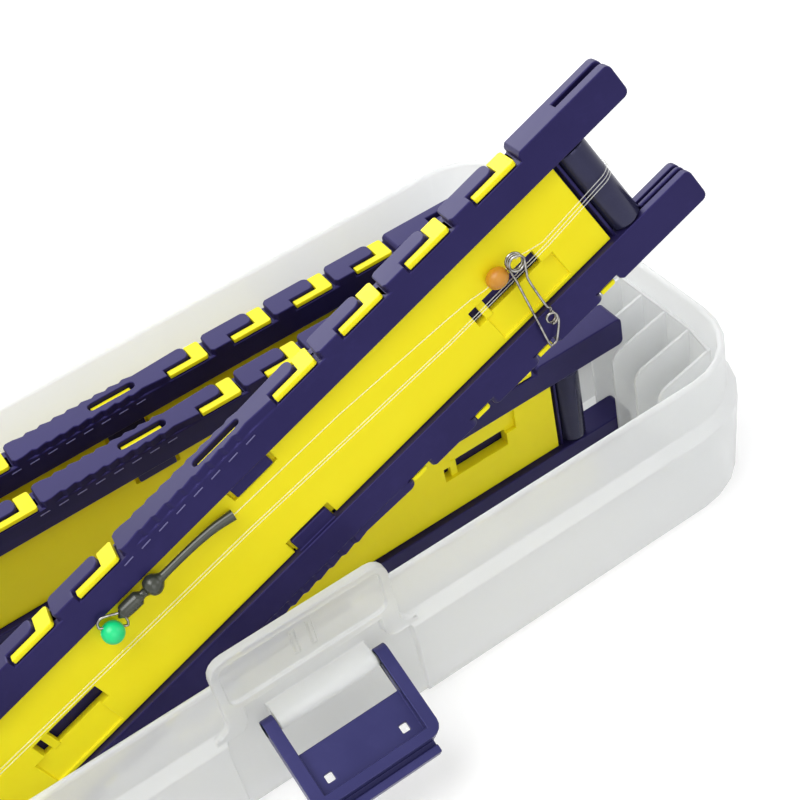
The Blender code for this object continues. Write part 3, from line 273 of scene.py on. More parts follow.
@dataclass(frozen=True)
class Finish:
    """One finish of the object.

    Attributes:
        name: Name of the material.
        slot: Slot of the record that it stands for.
        colour: Main colour, linear.
        rubbed: Colour of rubbed or cloudy places, linear.
        roughness: Main roughness.
        rubbing: Share of the surface that is rubbed.
        relief: Height of the fine texture in metres.
        specular: Strength of the mirror part.
        coat: Strength of a clear skin.
        tint: Colour of the mirror part.
        sheen: Strength of the soft glow at flat angles.
    """

    name: str
    slot: Slot
    colour: tuple
    rubbed: tuple
    roughness: float = 0.4
    rubbing: float = 0.3
    relief: float = 0.00001
    specular: float = 0.5
    coat: float = 0.0
    tint: tuple = (1.0, 1.0, 1.0)
    sheen: float = 0.0

    group_name = "moulded_plastic"

    def build(self) -> bpy.types.Material:
        """Make the material.

        Returns:
            The material, which reads object coordinates.
        """
        material = bpy.data.materials.new(self.name)
        material.use_nodes = True
        tree = material.node_tree
        shader = tree.nodes["Principled BSDF"]
        place = tree.nodes.new("ShaderNodeTexCoord")
        group = tree.nodes.new("ShaderNodeGroup")
        group.node_tree = bpy.data.node_groups[self.group_name]
        tree.links.new(place.outputs["Object"], group.inputs["Vector"])
        self.fill(group)
        bump = tree.nodes.new("ShaderNodeBump")
        bump.inputs["Strength"].default_value = BUMP_STRENGTH
        bump.inputs["Distance"].default_value = self.relief
        tree.links.new(group.outputs["Height"], bump.inputs["Height"])
        tree.links.new(group.outputs["Colour"], shader.inputs["Base Color"])
        tree.links.new(group.outputs["Roughness"], shader.inputs["Roughness"])
        tree.links.new(bump.outputs["Normal"], shader.inputs["Normal"])
        shader.inputs["Specular IOR Level"].default_value = self.specular
        shader.inputs["Coat Weight"].default_value = self.coat
        shader.inputs["Coat Roughness"].default_value = COAT_ROUGHNESS
        shader.inputs["Specular Tint"].default_value = (*self.tint, 1)
        shader.inputs["Sheen Weight"].default_value = self.sheen
        shader.inputs["Sheen Tint"].default_value = (*self.rubbed, 1)
        self.finish_shader(shader)
        material.diffuse_color = (*self.colour, 1.0)
        return material

    def fill(self, group: bpy.types.Node) -> None:
        """Give the group this finish's values.

        Args:
            group: The group node in the material.
        """
        group.inputs["Colour"].default_value = (*self.colour, 1)
        group.inputs["Rubbed"].default_value = (*self.rubbed, 1)
        group.inputs["Roughness"].default_value = self.roughness
        group.inputs["Rubbing"].default_value = self.rubbing

    def finish_shader(self, shader: bpy.types.Node) -> None:
        """Set what only some finishes have; plain plastic has nothing more."""


@dataclass(frozen=True)
class ClearFinish(Finish):
    """Frosted or clear plastic that lets light through.

    Attributes:
        transmission: Share of the light that is bent through it.
        alpha: Share that isn't let straight through.
        index: Index of refraction.
    """

    transmission: float = 0.5
    alpha: float = 1.0
    index: float = 1.4

    def finish_shader(self, shader: bpy.types.Node) -> None:
        """Let light through.

        Args:
            shader: The material's Principled BSDF.
        """
        shader.inputs["Transmission Weight"].default_value = self.transmission
        shader.inputs["Alpha"].default_value = self.alpha
        shader.inputs["IOR"].default_value = self.index


@dataclass(frozen=True)
class SoftFinish(Finish):
    """Plastic that light enters a little way.

    Attributes:
        depth: How far the light goes in, in metres.
        share: Share of the light that goes in.
        spread: How far each of red, green and blue goes, as shares of the depth.
    """

    depth: float = 0.002
    share: float = 0.25
    spread: tuple = (1.0, 0.8, 0.5)

    def finish_shader(self, shader: bpy.types.Node) -> None:
        """Scatter light under the surface.

        Args:
            shader: The material's Principled BSDF.
        """
        shader.inputs["Subsurface Weight"].default_value = self.share
        shader.inputs["Subsurface Scale"].default_value = self.depth
        shader.inputs["Subsurface Radius"].default_value = self.spread


@dataclass(frozen=True)
class WireFinish(Finish):
    """Drawn steel wire.

    Attributes:
        outline: Colour painted towards the outline as a dark reflection, linear.
        blend: How soon the surface counts as turned away.
        turned: Where the painted darkening starts and where it is full.
    """

    outline: tuple = (0.035, 0.033, 0.032)
    blend: float = 0.45
    turned: tuple = (0.15, 0.62)

    group_name = "drawn_wire"

    def fill(self, group: bpy.types.Node) -> None:
        """Give the group this finish's values.

        Args:
            group: The group node in the material.
        """
        group.inputs["Bright"].default_value = (*self.colour, 1)
        group.inputs["Dark"].default_value = (*self.rubbed, 1)
        group.inputs["Roughness"].default_value = self.roughness

    def finish_shader(self, shader: bpy.types.Node) -> None:
        """Make it metal whose colour is darkened towards its outline, a painted reflection of
        dark surroundings.

        Args:
            shader: The material's Principled BSDF.
        """
        shader.inputs["Metallic"].default_value = 1.0
        tree = shader.id_data
        # painted reflection: the base colour darkens where the surface turns away from the view
        facing = tree.nodes.new("ShaderNodeLayerWeight")
        facing.inputs["Blend"].default_value = self.blend
        colour = shader.inputs["Base Color"].links[0].from_socket
        edge = ramp_between(tree, facing.outputs["Facing"], *self.turned)
        shaded = mix_colour(tree, edge, colour, self.outline)
        tree.links.new(shaded, shader.inputs["Base Color"])


FINISHES = (
    ClearFinish("frosted_polypropylene", Slot.TUB, (0.965, 0.982, 0.985), (0.985, 0.99, 0.99),
                roughness=0.32, rubbing=0.25, relief=0.0000025, transmission=0.42, alpha=0.62,
                index=1.4),
    ClearFinish("thin_polypropylene", Slot.TUB, (0.965, 0.98, 0.985), (0.985, 0.99, 0.99),
                roughness=0.36, rubbing=0.2, relief=0.000002, transmission=0.25, alpha=0.52,
                index=1.3),
    Finish("violet_moulding", Slot.FRAME, (0.011, 0.008, 0.044), (0.036, 0.030, 0.125),
           roughness=0.40, rubbing=0.14, relief=0.000012, tint=(0.36, 0.33, 1.0), sheen=0.45),
    # painted highlight: a lighter violet that stands in for glints on the grip's raised dashes
    Finish("glint_painted_violet", Slot.FRAME, (0.12, 0.11, 0.26), (0.20, 0.19, 0.38),
           roughness=0.45, rubbing=0.3, relief=0.000006),
    Finish("latch_moulding", Slot.LATCH, (0.026, 0.026, 0.100), (0.068, 0.066, 0.20),
           roughness=0.32, rubbing=0.14, relief=0.000008, tint=(0.5, 0.48, 1.0), sheen=0.15),
    SoftFinish("yellow_moulding", Slot.CORE, (0.93, 0.80, 0.010), (0.95, 0.86, 0.03),
               roughness=0.42, rubbing=0.16, relief=0.000008, tint=(1.0, 0.9, 0.3)),
    Finish("slate_bar", Slot.BAR, (0.016, 0.016, 0.038), (0.045, 0.045, 0.085),
           roughness=0.24, rubbing=0.14, relief=0.000004, tint=(0.6, 0.6, 1.0)),
    ClearFinish("nylon_line", Slot.LINE, (0.95, 0.95, 0.90), (0.97, 0.97, 0.95),
                roughness=0.30, rubbing=0.1, relief=0.000001, transmission=0.0, alpha=0.32,
                index=1.45),
    WireFinish("spring_wire", Slot.WIRE, (0.42, 0.41, 0.39), (0.17, 0.15, 0.13),
               roughness=0.17, rubbing=0.0, relief=0.000001),
    Finish("olive_rubber", Slot.SEAT, (0.018, 0.022, 0.012), (0.055, 0.060, 0.038),
           roughness=0.26, rubbing=0.2, relief=0.000005, coat=0.3),
    SoftFinish("green_bead", Slot.STOP, (0.006, 0.72, 0.24), (0.02, 0.80, 0.34),
               roughness=0.30, rubbing=0.15, relief=0.000004, share=0.25),
    SoftFinish("orange_bead", Slot.LEAD, (0.56, 0.225, 0.010), (0.66, 0.34, 0.04),
               roughness=0.34, rubbing=0.4, relief=0.000008, share=0.4),
)


class Wardrobe:
    """Builds every finish once and dresses pieces in them."""

    def __init__(self) -> None:
        """Make the node groups and the materials."""
        moulding_group()
        wire_group()
        self.materials = {item.name: item.build() for item in FINISHES}
        self.usual = {item.slot: item.name for item in reversed(FINISHES)}

    def dress(self, piece: bpy.types.Object, slot: Slot, body: str, *nodes: str,
              look: str = "") -> bpy.types.Object:
        """Give a piece its finish, its body and the nodes that it stands for.

        Args:
            piece: The finished object.
            slot: The finish that it takes.
            body: The CAD body that it rides on.
            nodes: CAD nodes that it replaces.
            look: Name of another finish of that slot, where it isn't the usual one.

        Returns:
            The piece itself.
        """
        piece.data.materials.clear()
        piece.data.materials.append(self.materials[look or self.usual[slot]])
        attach(piece, body)
        if nodes:
            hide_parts(*nodes)
        log.info("%s: %d faces on %s", piece.name, len(piece.data.polygons), body)
        return piece


# ---------------------------------------------------------------- mesh helpers


def show(name: str, shape: bmesh.types.BMesh, sharp: float = 50.0,
         place: Matrix | None = None) -> bpy.types.Object:
    """Turn a bmesh into a shaded object that sits at the origin.

    Args:
        name: Name of the piece.
        shape: Its mesh, which is freed.
        sharp: Angle in degrees above which an edge stays sharp.
        place: Where the mesh goes in the part's frame.

    Returns:
        The object.
    """
    if place is not None:
        bmesh.ops.transform(shape, matrix=place, verts=shape.verts)
    mesh = bpy.data.meshes.new(name)
    shape.to_mesh(mesh)
    shape.free()
    mesh.shade_smooth()
    mesh.set_sharp_from_angle(angle=math.radians(sharp))
    piece = bpy.data.objects.new(name, mesh)
    bpy.context.scene.collection.objects.link(piece)
    return piece


def weigh_normals(piece: bpy.types.Object) -> None:
    """Let the large faces lead the shading, so that flats look flat between round edges.

    Args:
        piece: The object.
    """
    modifier = piece.modifiers.new("weighted_normals", "WEIGHTED_NORMAL")
    modifier.mode = "FACE_AREA"
    modifier.weight = 60
    modifier.keep_sharp = True


def bevelled(shape: bmesh.types.BMesh, width: float, segments: int,
             least_angle: float) -> None:
    """Round every edge of a mesh that is sharper than an angle.

    Args:
        shape: The mesh.
        width: Width of the bevel.
        segments: Steps across the bevel.
        least_angle: Least angle between two faces, in degrees.
    """
    limit = math.radians(least_angle)
    edges = [edge for edge in shape.edges
             if len(edge.link_faces) == 2 and edge.calc_face_angle(0) > limit]
    bmesh.ops.bevel(shape, geom=edges, offset=width, offset_type="OFFSET", segments=segments,
                    profile=0.5, affect="EDGES", clamp_overlap=False, material=-1,
                    loop_slide=True)


def smooth_route(points: list, steps: int) -> list:
    """Join points by a Catmull-Rom curve.

    Args:
        points: The points that the route goes through.
        steps: Steps between two of them.

    Returns:
        The points of the smooth route.
    """
    ends = [points[0] * 2 - points[1]] + list(points) + [points[-1] * 2 - points[-2]]
    route = []
    for index in range(1, len(ends) - 2):
        before, first, second, after = ends[index - 1:index + 3]
        for step in range(steps):
            t = step / steps
            curve = (first * 2 + (second - before) * t
                     + (before * 2 - first * 5 + second * 4 - after) * t * t
                     + (first * 3 - before - second * 3 + after) * t * t * t)
            route.append(curve / 2)
    route.append(points[-1].copy())
    return route


def tube(name: str, points: list, radii: float | list, place: Matrix,
         resolution: int = 4) -> bpy.types.Object:
    """Make a round tube along points as a mesh.

    Args:
        name: Name of the piece.
        points: Route in the piece's own frame.
        radii: One radius, or one for each point.
        place: Where the route goes in the part's frame.
        resolution: Fineness round the tube.

    Returns:
        The tube as a shaded mesh object.
    """
    curve = bpy.data.curves.new(name, "CURVE")
    curve.dimensions = "3D"
    spline = curve.splines.new("POLY")
    spline.points.add(len(points) - 1)
    values = [radii] * len(points) if isinstance(radii, float) else radii
    for target, point, radius in zip(spline.points, points, values):
        target.co = (*(place @ point), 1)
        target.radius = radius / max(values)
    curve.bevel_depth = max(values)
    curve.bevel_resolution = resolution
    curve.use_fill_caps = True
    holder = bpy.data.objects.new(name, curve)
    bpy.context.scene.collection.objects.link(holder)
    bpy.context.view_layer.update()
    evaluated = holder.evaluated_get(bpy.context.evaluated_depsgraph_get())
    mesh = bpy.data.meshes.new_from_object(evaluated)
    bpy.data.objects.remove(holder, do_unlink=True)
    shape = bmesh.new()
    shape.from_mesh(mesh)
    bmesh.ops.remove_doubles(shape, verts=shape.verts, dist=MERGE_DISTANCE)
    bmesh.ops.recalc_face_normals(shape, faces=shape.faces)
    return show(name, shape)


def lathe(shape: bmesh.types.BMesh, profile: list, steps: int = 40) -> None:
    """Spin a closed profile round the X axis.

    Args:
        shape: The mesh that takes the form.
        profile: Points of the profile as rows of x and radius.
        steps: Steps round the axis.
    """
    verts = [shape.verts.new((x, 0, radius)) for x, radius in profile]
    edges = [shape.edges.new((verts[index - 1], verts[index])) for index in range(len(verts))]
    bmesh.ops.spin(shape, geom=verts + edges, cent=(0, 0, 0), axis=(1, 0, 0),
                   angle=2 * math.pi, steps=steps, use_merge=True)
    bmesh.ops.remove_doubles(shape, verts=shape.verts, dist=MERGE_DISTANCE)
    bmesh.ops.recalc_face_normals(shape, faces=shape.faces)


def rounded_bar(shape: bmesh.types.BMesh, size: tuple, middle: tuple, width: float,
                turn: float = 0.0) -> None:
    """Add a small block with soft edges.

    Args:
        shape: The mesh that takes the block.
        size: Its lengths along X, Y and Z.
        middle: Its middle.
        width: Width of its soft edges.
        turn: Its turn about Y, in radians.
    """
    part = bmesh.new()
    bmesh.ops.create_cube(part, size=1)
    bmesh.ops.scale(part, vec=size, verts=part.verts)
    bevelled(part, width, 2, 30)
    bmesh.ops.rotate(part, cent=(0, 0, 0), matrix=Matrix.Rotation(turn, 3, "Y"),
                     verts=part.verts)
    bmesh.ops.translate(part, vec=middle, verts=part.verts)
    mesh = bpy.data.meshes.new("part")
    part.to_mesh(mesh)
    part.free()
    shape.from_mesh(mesh)
    bpy.data.meshes.remove(mesh)


# ---------------------------------------------------------------- mouldings

BAR_PLACE = 0.0993  # how far the line bars stand from the middle of a board


@dataclass
class Moulding:
    """A CAD node whose hard edges are rounded as a mould leaves them.

    Attributes:
        node: The CAD node.
        body: The body that it rides on.
        slot: Its finish.
        edge: Width of the round edges.
        segments: Steps across an edge.
        least_angle: Least angle that is rounded, in degrees.
        look: Name of its finish, where it isn't the slot's usual one.
    """

    node: str
    body: str
    slot: Slot
    edge: float = 0.00035
    segments: int = 2
    least_angle: float = 25.0
    look: str = ""

    def shape(self) -> bmesh.types.BMesh:
        """Copy the node's mesh.

        Returns:
            The copy, merged and with flat faces joined.
        """
        shape = bmesh.new()
        shape.from_mesh(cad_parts[self.node].data)
        bmesh.ops.remove_doubles(shape, verts=shape.verts, dist=MERGE_DISTANCE)
        bmesh.ops.dissolve_limit(shape, angle_limit=math.radians(1), verts=shape.verts,
                                 edges=shape.edges)
        return shape

    def build(self, wardrobe: Wardrobe) -> bpy.types.Object:
        """Round the edges and put the piece in the node's place.

        Args:
            wardrobe: The finishes.

        Returns:
            The dressed piece.
        """
        shape = self.shape()
        bevelled(shape, self.edge, self.segments, self.least_angle)
        piece = show(f"{self.node}_moulding", shape, 60)
        weigh_normals(piece)
        return wardrobe.dress(piece, self.slot, self.body, self.node, look=self.look)


@dataclass
class LineBar:
    """A turned line bar with a round shoulder at each end.

    Attributes:
        node: The CAD node.
        body: The body that it rides on.
        place: Place of its board.
        offset: How far it stands from the board's middle, to the right.
        radius: Its radius.
        low: Height of its lower end on the board.
        high: Height of its upper end.
        shoulder: Radius of the shoulders.
        arc_steps: Steps in a shoulder's arc.
        round_steps: Steps round the bar.
    """

    node: str
    body: str
    place: Matrix
    offset: float
    radius: float = 0.004
    low: float = 0.0093
    high: float = 0.0335
    shoulder: float = 0.0006
    arc_steps: int = 5
    round_steps: int = 56

    def build(self, wardrobe: Wardrobe) -> bpy.types.Object:
        """Spin the bar round its own axis.

        Args:
            wardrobe: The finishes.

        Returns:
            The dressed bar.
        """
        length = self.high - self.low
        profile = [(0, 0), (0, self.radius - self.shoulder)]
        for step in range(1, self.arc_steps + 1):
            angle = math.pi / 2 * step / self.arc_steps
            profile.append((self.shoulder * (1 - math.cos(angle)),
                            self.radius - self.shoulder * (1 - math.sin(angle))))
        far = [(length - x, radius) for x, radius in reversed(profile)]
        shape = bmesh.new()
        lathe(shape, profile + far, self.round_steps)
        upright = Matrix.Rotation(-math.pi / 2, 4, "Y")
        turn = Matrix.Translation((self.offset, 0, self.low)) @ upright
        piece = show(f"{self.node}_turned", shape, 40, self.place @ turn)
        return wardrobe.dress(piece, Slot.BAR, self.body, self.node)


@dataclass
class BoardMarks:
    """Fine raised dashes in a row along the upper grip, in a lighter violet than the rail: a
    painted highlight that stands in for glints on the raised dashes.

    Attributes:
        name: Name of the board.
        body: The body that they ride on.
        place: Place of the board.
        length: Length of a dash.
        width: Its width, up the board.
        height: How far it stands out.
        pitch: Distance from one dash to the next.
        count: Number of dashes on a face.
        start: Place of the first one along the board.
        rise: Their height on the board.
        half_thick: Half the board's thickness.
        lean: Turn of each dash, in radians.
    """

    name: str
    body: str
    place: Matrix
    length: float = 0.0028
    width: float = 0.00026
    height: float = 0.00020
    pitch: float = 0.0053
    count: int = 8
    start: float = -0.0310
    rise: float = 0.0394
    half_thick: float = 0.004
    lean: float = math.radians(-3)

    def build(self, wardrobe: Wardrobe) -> bpy.types.Object:
        """Add every dash to one mesh.

        Args:
            wardrobe: The finishes.

        Returns:
            The dressed piece.
        """
        shape = bmesh.new()
        size = (self.length, self.height * 2, self.width)
        for face in (-1, 1):
            for index in range(self.count):
                spot = (self.start + self.pitch * index, face * self.half_thick, self.rise)
                rounded_bar(shape, size, spot, self.height * 0.4, self.lean)
        piece = show(f"{self.name}_grip_marks", shape, 50, self.place)
        # the lighter finish is a painted highlight for glints on the raised dashes
        return wardrobe.dress(piece, Slot.FRAME, self.body, look="glint_painted_violet")


@dataclass
class EndShadeBlocks:
    """Thin angled ribs across the frame at the plate's two ends, beside the line bars.

    Attributes:
        name: Name of the board.
        body: The body that they ride on.
        place: Place of the board.
        height: Height of the blocks.
        middle: Height of their middle on the board.
        blocks: The two blocks at each end, as lengths and places along and across the board.
    """

    name: str
    body: str
    place: Matrix
    height: float = 0.0256
    middle: float = 0.0214
    blocks: tuple = (((0.0030, 0.0018), (0.0936, 0.0023)), ((0.0007, 0.0052), (0.0948, 0.0006)))

    def build(self, wardrobe: Wardrobe) -> bpy.types.Object:
        """Add the dark blocks of painted shade at both ends to one mesh.

        Args:
            wardrobe: The finishes.

        Returns:
            The dressed piece.
        """
        shape = bmesh.new()
        for side in Side:
            for size, (along, across) in self.blocks:
                spot = (side.value * along, across, self.middle)
                # dark violet blocks in the gap beside each line bar, as painted shade
                rounded_bar(shape, (*size, self.height), spot, size[0] / 6)
        piece = show(f"{self.name}_end_ribs", shape, 50, self.place)
        return wardrobe.dress(piece, Slot.FRAME, self.body)


@dataclass
class Board:
    """One winding board: frame, core, two line bars and its marks.

    Attributes:
        name: Name of the board and of its body.
        place: Its place in the part's frame.
        core_edge: Width of the core's round edges.
    """

    name: str
    place: Matrix
    core_edge: float = 0.00018

    def build(self, wardrobe: Wardrobe) -> None:
        """Build and dress the board's pieces.

        Args:
            wardrobe: The finishes.
        """
        core = f"{self.name}_core"
        Moulding(f"{self.name}_frame", self.name, Slot.FRAME).build(wardrobe)
        Moulding(core, core, Slot.CORE, self.core_edge).build(wardrobe)
        BoardMarks(self.name, self.name, self.place).build(wardrobe)
        # dark blocks in the gaps at the plate's ends: painted shade
        EndShadeBlocks(self.name, self.name, self.place).build(wardrobe)
        for side in Side:
            node = f"{self.name}_bar_{side.name.lower()}"
            LineBar(node, self.name, self.place, side.value * BAR_PLACE).build(wardrobe)


# ---------------------------------------------------------------- rig


@dataclass(frozen=True)
class Bead:
    """A turned bead with a bore.

    Attributes:
        node: The CAD node.
        slot: Its finish.
        radius: Radius across the bore.
        half: Half its length along the bore.
        bore: Radius of the bore.
        lip: Width of the bore's soft mouth.
        arc_steps: Steps in the profile's arc.
        round_steps: Steps round the bore.
    """

    node: str
    slot: Slot
    radius: float
    half: float
    bore: float
    lip: float = 0.0002
    arc_steps: int = 24
    round_steps: int = 48

    def build(self, place: Matrix, body: str, wardrobe: Wardrobe) -> bpy.types.Object:
        """Spin the bead round its bore.

        Args:
            place: Where its middle goes, with the bore along X.
            body: The body that it rides on.
            wardrobe: The finishes.

        Returns:
            The dressed bead.
        """
        profile = []
        mouth = math.asin(min(1.0, (self.bore + self.lip) / self.radius))
        for index in range(self.arc_steps + 1):
            angle = mouth + (math.pi - 2 * mouth) * index / self.arc_steps
            profile.append((-self.half * math.cos(angle), self.radius * math.sin(angle)))
        edge = self.half * math.cos(mouth)
        profile += [(edge - self.lip, self.bore), (-edge + self.lip, self.bore)]
        shape = bmesh.new()
        lathe(shape, profile, self.round_steps)
        piece = show(f"{self.node}_turned", shape, 50, place)
        return wardrobe.dress(piece, self.slot, body, self.node)


@dataclass
class Rig:
    """The line, float seat, beads and wire snap that the raised board holds.

    Places are (along, up) on the board in metres, with the depth out of its front face.

    Attributes:
        place: Place of the raised board.
        body: The body that the rig rides on.
        line_radius: Radius of the line.
        line_plane: Depth of the line on the board.
        wire_radius: Radius of the wires.
        wire_steps: Steps between two points of a bent wire.
        leg_plane: Depth of the snap's first leg.
        coil_step: How far a coil moves outwards in a turn.
        coil_steps: Steps in a turn of a coil.
        seat_plane: Depth of the float seat's ball.
        mouth_plane: Depth of the float seat's mouth.
        ball_radius: Radius of the float seat's ball.
        seat_steps: Steps between two rows of the float seat.
        turn_steps: Steps in a half turn round a line bar.
        end_turns: Turns round the left bar at the leader's end.
        end_steps: Steps in those turns.
        end_fall: Change of height over those turns.
        knot_radius: Radius of a knot's turns.
        knot_pitch: Length of a knot's turn.
        knot_turns: Number of a knot's turns.
        knot_steps: Steps in a knot's turn.
        knot_line: Radius of a knot's line.
        knots: Name and place of each knot.
        beads: The stop bead and the lead bead.
        link: Route of the hook link.
        start: Where the leader starts, before the right bar.
        strands: The leader's strands over the front, from left to right.
        right_heights: Heights of the leader's turns round the right bar.
        left_heights: Heights of its turns round the left bar.
        seat: The float seat in rows of along and up in millimetres, and share of the ball.
        hoop: Route of the wire hoop.
        stop: Place of the stop bead.
        lead: Place of the lead bead.
        hook_leg: Route of the snap's hooked leg.
        coil: Middle of the snap's coil.
        coil_radius: Radius of that coil.
        coil_turns: Turns of that coil.
        clasp_leg: Route of the snap's second leg.
        clasp: Middle of the clasp's coil.
        clasp_radius: Radius of that coil.
        clasp_turns: Turns of that coil.
    """

    place: Matrix
    body: str = "raised_board"
    line_radius: float = 0.00011
    line_plane: float = 0.00445
    wire_radius: float = 0.0003
    wire_steps: int = 6
    leg_plane: float = 0.0052
    coil_step: float = 0.0009
    coil_steps: int = 28
    seat_plane: float = 0.0050
    mouth_plane: float = 0.00385
    ball_radius: float = 0.0025
    seat_steps: int = 5
    turn_steps: int = 24
    end_turns: float = 1.25
    end_steps: int = 60
    end_fall: float = -0.0011
    knot_radius: float = 0.00032
    knot_pitch: float = 0.00028
    knot_turns: int = 4
    knot_steps: int = 24
    knot_line: float = 0.00013
    knots: tuple = (("link_knot", (0.0718, 0.0245)), ("leader_knot", (0.0747, 0.0249)))
    beads: tuple = (Bead("stop_bead", Slot.STOP, 0.0027, 0.0027, 0.0005),
                    Bead("lead_bead", Slot.LEAD, 0.00235, 0.0028, 0.00045))
    link: tuple = ((-0.01014, 0.02932), (-0.00806, 0.0288), (0.02314, 0.02815),
                   (0.05366, 0.02607), (0.06095, 0.02541), (0.06498, 0.02453),
                   (0.07195, 0.02448))
    start: tuple = ((0.07442, 0.02503), (0.07689, 0.0241), (0.0812, 0.02289))
    strands: tuple = (
        ((-0.00816, 0.02377), (0.05112, 0.02156), (0.06084, 0.0216), (0.08213, 0.02196)),
        ((-0.00816, 0.02302), (0.0511, 0.02086), (0.06081, 0.0209), (0.08209, 0.02118)),
        (),
    )
    right_heights: tuple = (0.02399, 0.02306, 0.02223)
    left_heights: tuple = (0.02541, 0.02451, 0.02361)
    seat: tuple = ((-40.19, 31.88, 0.60), (-40.13, 31.88, 0.70), (-36.1, 31.75, 0.72),
                   (-36.0, 31.74, 0.62), (-35.4, 31.68, 0.46), (-34.53, 31.63, 0.38),
                   (-33.62, 31.54, 0.50), (-32.92, 31.54, 0.84), (-31.62, 31.44, 1.0),
                   (-30.31, 31.39, 0.84), (-29.44, 31.35, 0.54), (-28.25, 31.25, 0.40),
                   (-22.39, 31.05, 0.40), (-17.22, 30.67, 0.42), (-12.95, 30.05, 0.47),
                   (-8.74, 28.96, 0.54))
    hoop: tuple = ((-0.03886, 0.03239), (-0.04068, 0.03239), (-0.04168, 0.03291),
                   (-0.04327, 0.0341), (-0.04464, 0.03476), (-0.04588, 0.03439),
                   (-0.04637, 0.03353), (-0.04618, 0.03282), (-0.04255, 0.02904),
                   (-0.0418, 0.02895), (-0.04124, 0.02975), (-0.04105, 0.03069),
                   (-0.04059, 0.03135), (-0.03889, 0.03135))
    stop: tuple = (-0.04539, 0.03004)
    lead: tuple = (0.0685, 0.02452)
    hook_leg: tuple = ((0.07284, 0.0068), (0.072, 0.00514), (0.06941, 0.00247),
                       (0.0685, 0.00192), (0.06766, 0.00201), (0.06729, 0.00293),
                       (0.0689, 0.01056), (0.07111, 0.02091))
    coil: tuple = (0.0736, 0.02531)
    coil_radius: float = 0.0019
    coil_turns: float = 2.5
    clasp_leg: tuple = ((0.07379, 0.02186), (0.07305, 0.01955), (0.07228, 0.01171),
                        (0.07272, 0.01023))
    clasp: tuple = (0.07141, 0.00856)
    clasp_radius: float = 0.0012
    clasp_turns: float = 1.5

    def point(self, spot: tuple, depth: float) -> Vector:
        """Return a place on the board, depth out of its front face."""
        return Vector((spot[0], -depth, spot[1]))

    def bar_turn(self, side: Side, height: float, turns: float, steps: int,
                 fall: float = 0.0) -> list:
        """Lead the line round a line bar.

        Args:
            side: The end of the board.
            height: Height where the line meets the bar.
            turns: Number of turns.
            steps: Steps in all of them.
            fall: Change of height on the way.

        Returns:
            The points of the turns.
        """
        end = side.value
        points = []
        for index in range(steps + 1):
            part = index / steps
            angle = end * math.pi * (2 * turns * part - 0.5)
            points.append(Vector((end * BAR_PLACE + self.line_plane * math.cos(angle) * end,
                                  self.line_plane * math.sin(angle), height + fall * part)))
        return points

    def leader(self) -> list:
        """Wind the leader lengthwise round both bars.

        Returns:
            The points of its route.
        """
        points = [self.point(spot, self.line_plane) for spot in self.start]
        for right, left, strand in zip(self.right_heights, self.left_heights, self.strands):
            points += self.bar_turn(Side.RIGHT, right, 0.5, self.turn_steps)
            if strand:
                points += self.bar_turn(Side.LEFT, left, 0.5, self.turn_steps)
                points += [self.point(spot, self.line_plane) for spot in strand]
            else:
                points += self.bar_turn(Side.LEFT, left, self.end_turns, self.end_steps,
                                        self.end_fall)
        return points

    def link_route(self) -> list:
        """Lead the hook link from the seat through the lead bead.

        Returns:
            The points of its route.
        """
        first, last = self.link[0][0], self.link[-2][0]
        rise = self.line_plane - self.mouth_plane
        points = []
        for spot in self.link:
            part = min(1.0, (spot[0] - first) / (last - first))
            points.append(self.point(spot, self.mouth_plane + rise * part))
        return points

    def coil_route(self, spot: tuple, radius: float, depth: float, start: float,
                   turns: float) -> list:
        """Wind a coil that steps away from the board.

        Args:
            spot: Its middle.
            radius: Its radius.
            depth: Depth of its first turn.
            start: Angle at which it starts, in radians.
            turns: Number of turns.

        Returns:
            The points of its route.
        """
        middle = self.point(spot, depth)
        steps = int(turns * self.coil_steps)
        points = []
        for index in range(steps + 1):
            part = index / steps
            angle = start - 2 * math.pi * turns * part
            out = self.coil_step * turns * part
            points.append(middle + Vector((radius * math.cos(angle), -out,
                                           radius * math.sin(angle))))
        return points

    def snap_route(self) -> list:
        """Bend the wire of the snap: hooked leg, coil, second leg, clasp coil.

        Returns:
            The points of its route.
        """
        leg = smooth_route([self.point(spot, self.leg_plane) for spot in self.hook_leg],
                           self.wire_steps)
        coil = self.coil_route(self.coil, self.coil_radius, self.leg_plane, math.pi,
                               self.coil_turns)
        far = self.leg_plane + self.coil_step * self.coil_turns
        near = self.leg_plane + self.coil_step
        second = []
        for index, spot in enumerate(self.clasp_leg):
            part = (index + 1) / len(self.clasp_leg)
            second.append(self.point(spot, far + (near - far) * part))
        clasp = self.coil_route(self.clasp, self.clasp_radius, near, math.pi / 4,
                                self.clasp_turns)
        joined = smooth_route([coil[-1]] + second + [clasp[0]], self.wire_steps)
        return leg + coil[1:] + joined[1:-1] + clasp

    def knot(self, name: str, spot: Vector, wardrobe: Wardrobe) -> None:
        """Add a small barrel knot of close turns.

        Args:
            name: Name of the piece.
            spot: Its middle on the board.
            wardrobe: The finishes.
        """
        points = []
        half = self.knot_pitch * self.knot_turns / 2
        for index in range(self.knot_turns * self.knot_steps + 1):
            angle = 2 * math.pi * index / self.knot_steps
            along = self.knot_pitch * index / self.knot_steps - half
            points.append(spot + Vector((along, self.knot_radius * math.cos(angle),
                                         self.knot_radius * math.sin(angle))))
        piece = tube(name, points, self.knot_line, self.place, 2)
        wardrobe.dress(piece, Slot.LINE, self.body)

    def seat_route(self) -> tuple:
        """Lead the float seat along its middle line.

        Returns:
            The points of its smooth route, and its radius at each.
        """
        rows = [Vector((along / 1000, up / 1000, share * self.ball_radius))
                for along, up, share in self.seat]
        ball = max(rows, key=lambda row: row.z).x
        mouth = rows[-1].x
        route, radii = [], []
        for row in smooth_route(rows, self.seat_steps):
            part = max(0.0, (row.x - ball) / (mouth - ball))
            depth = self.seat_plane + (self.mouth_plane - self.seat_plane) * part
            route.append(Vector((row.x, -depth, row.y)))
            radii.append(min(row.z, self.ball_radius))
        return route, radii

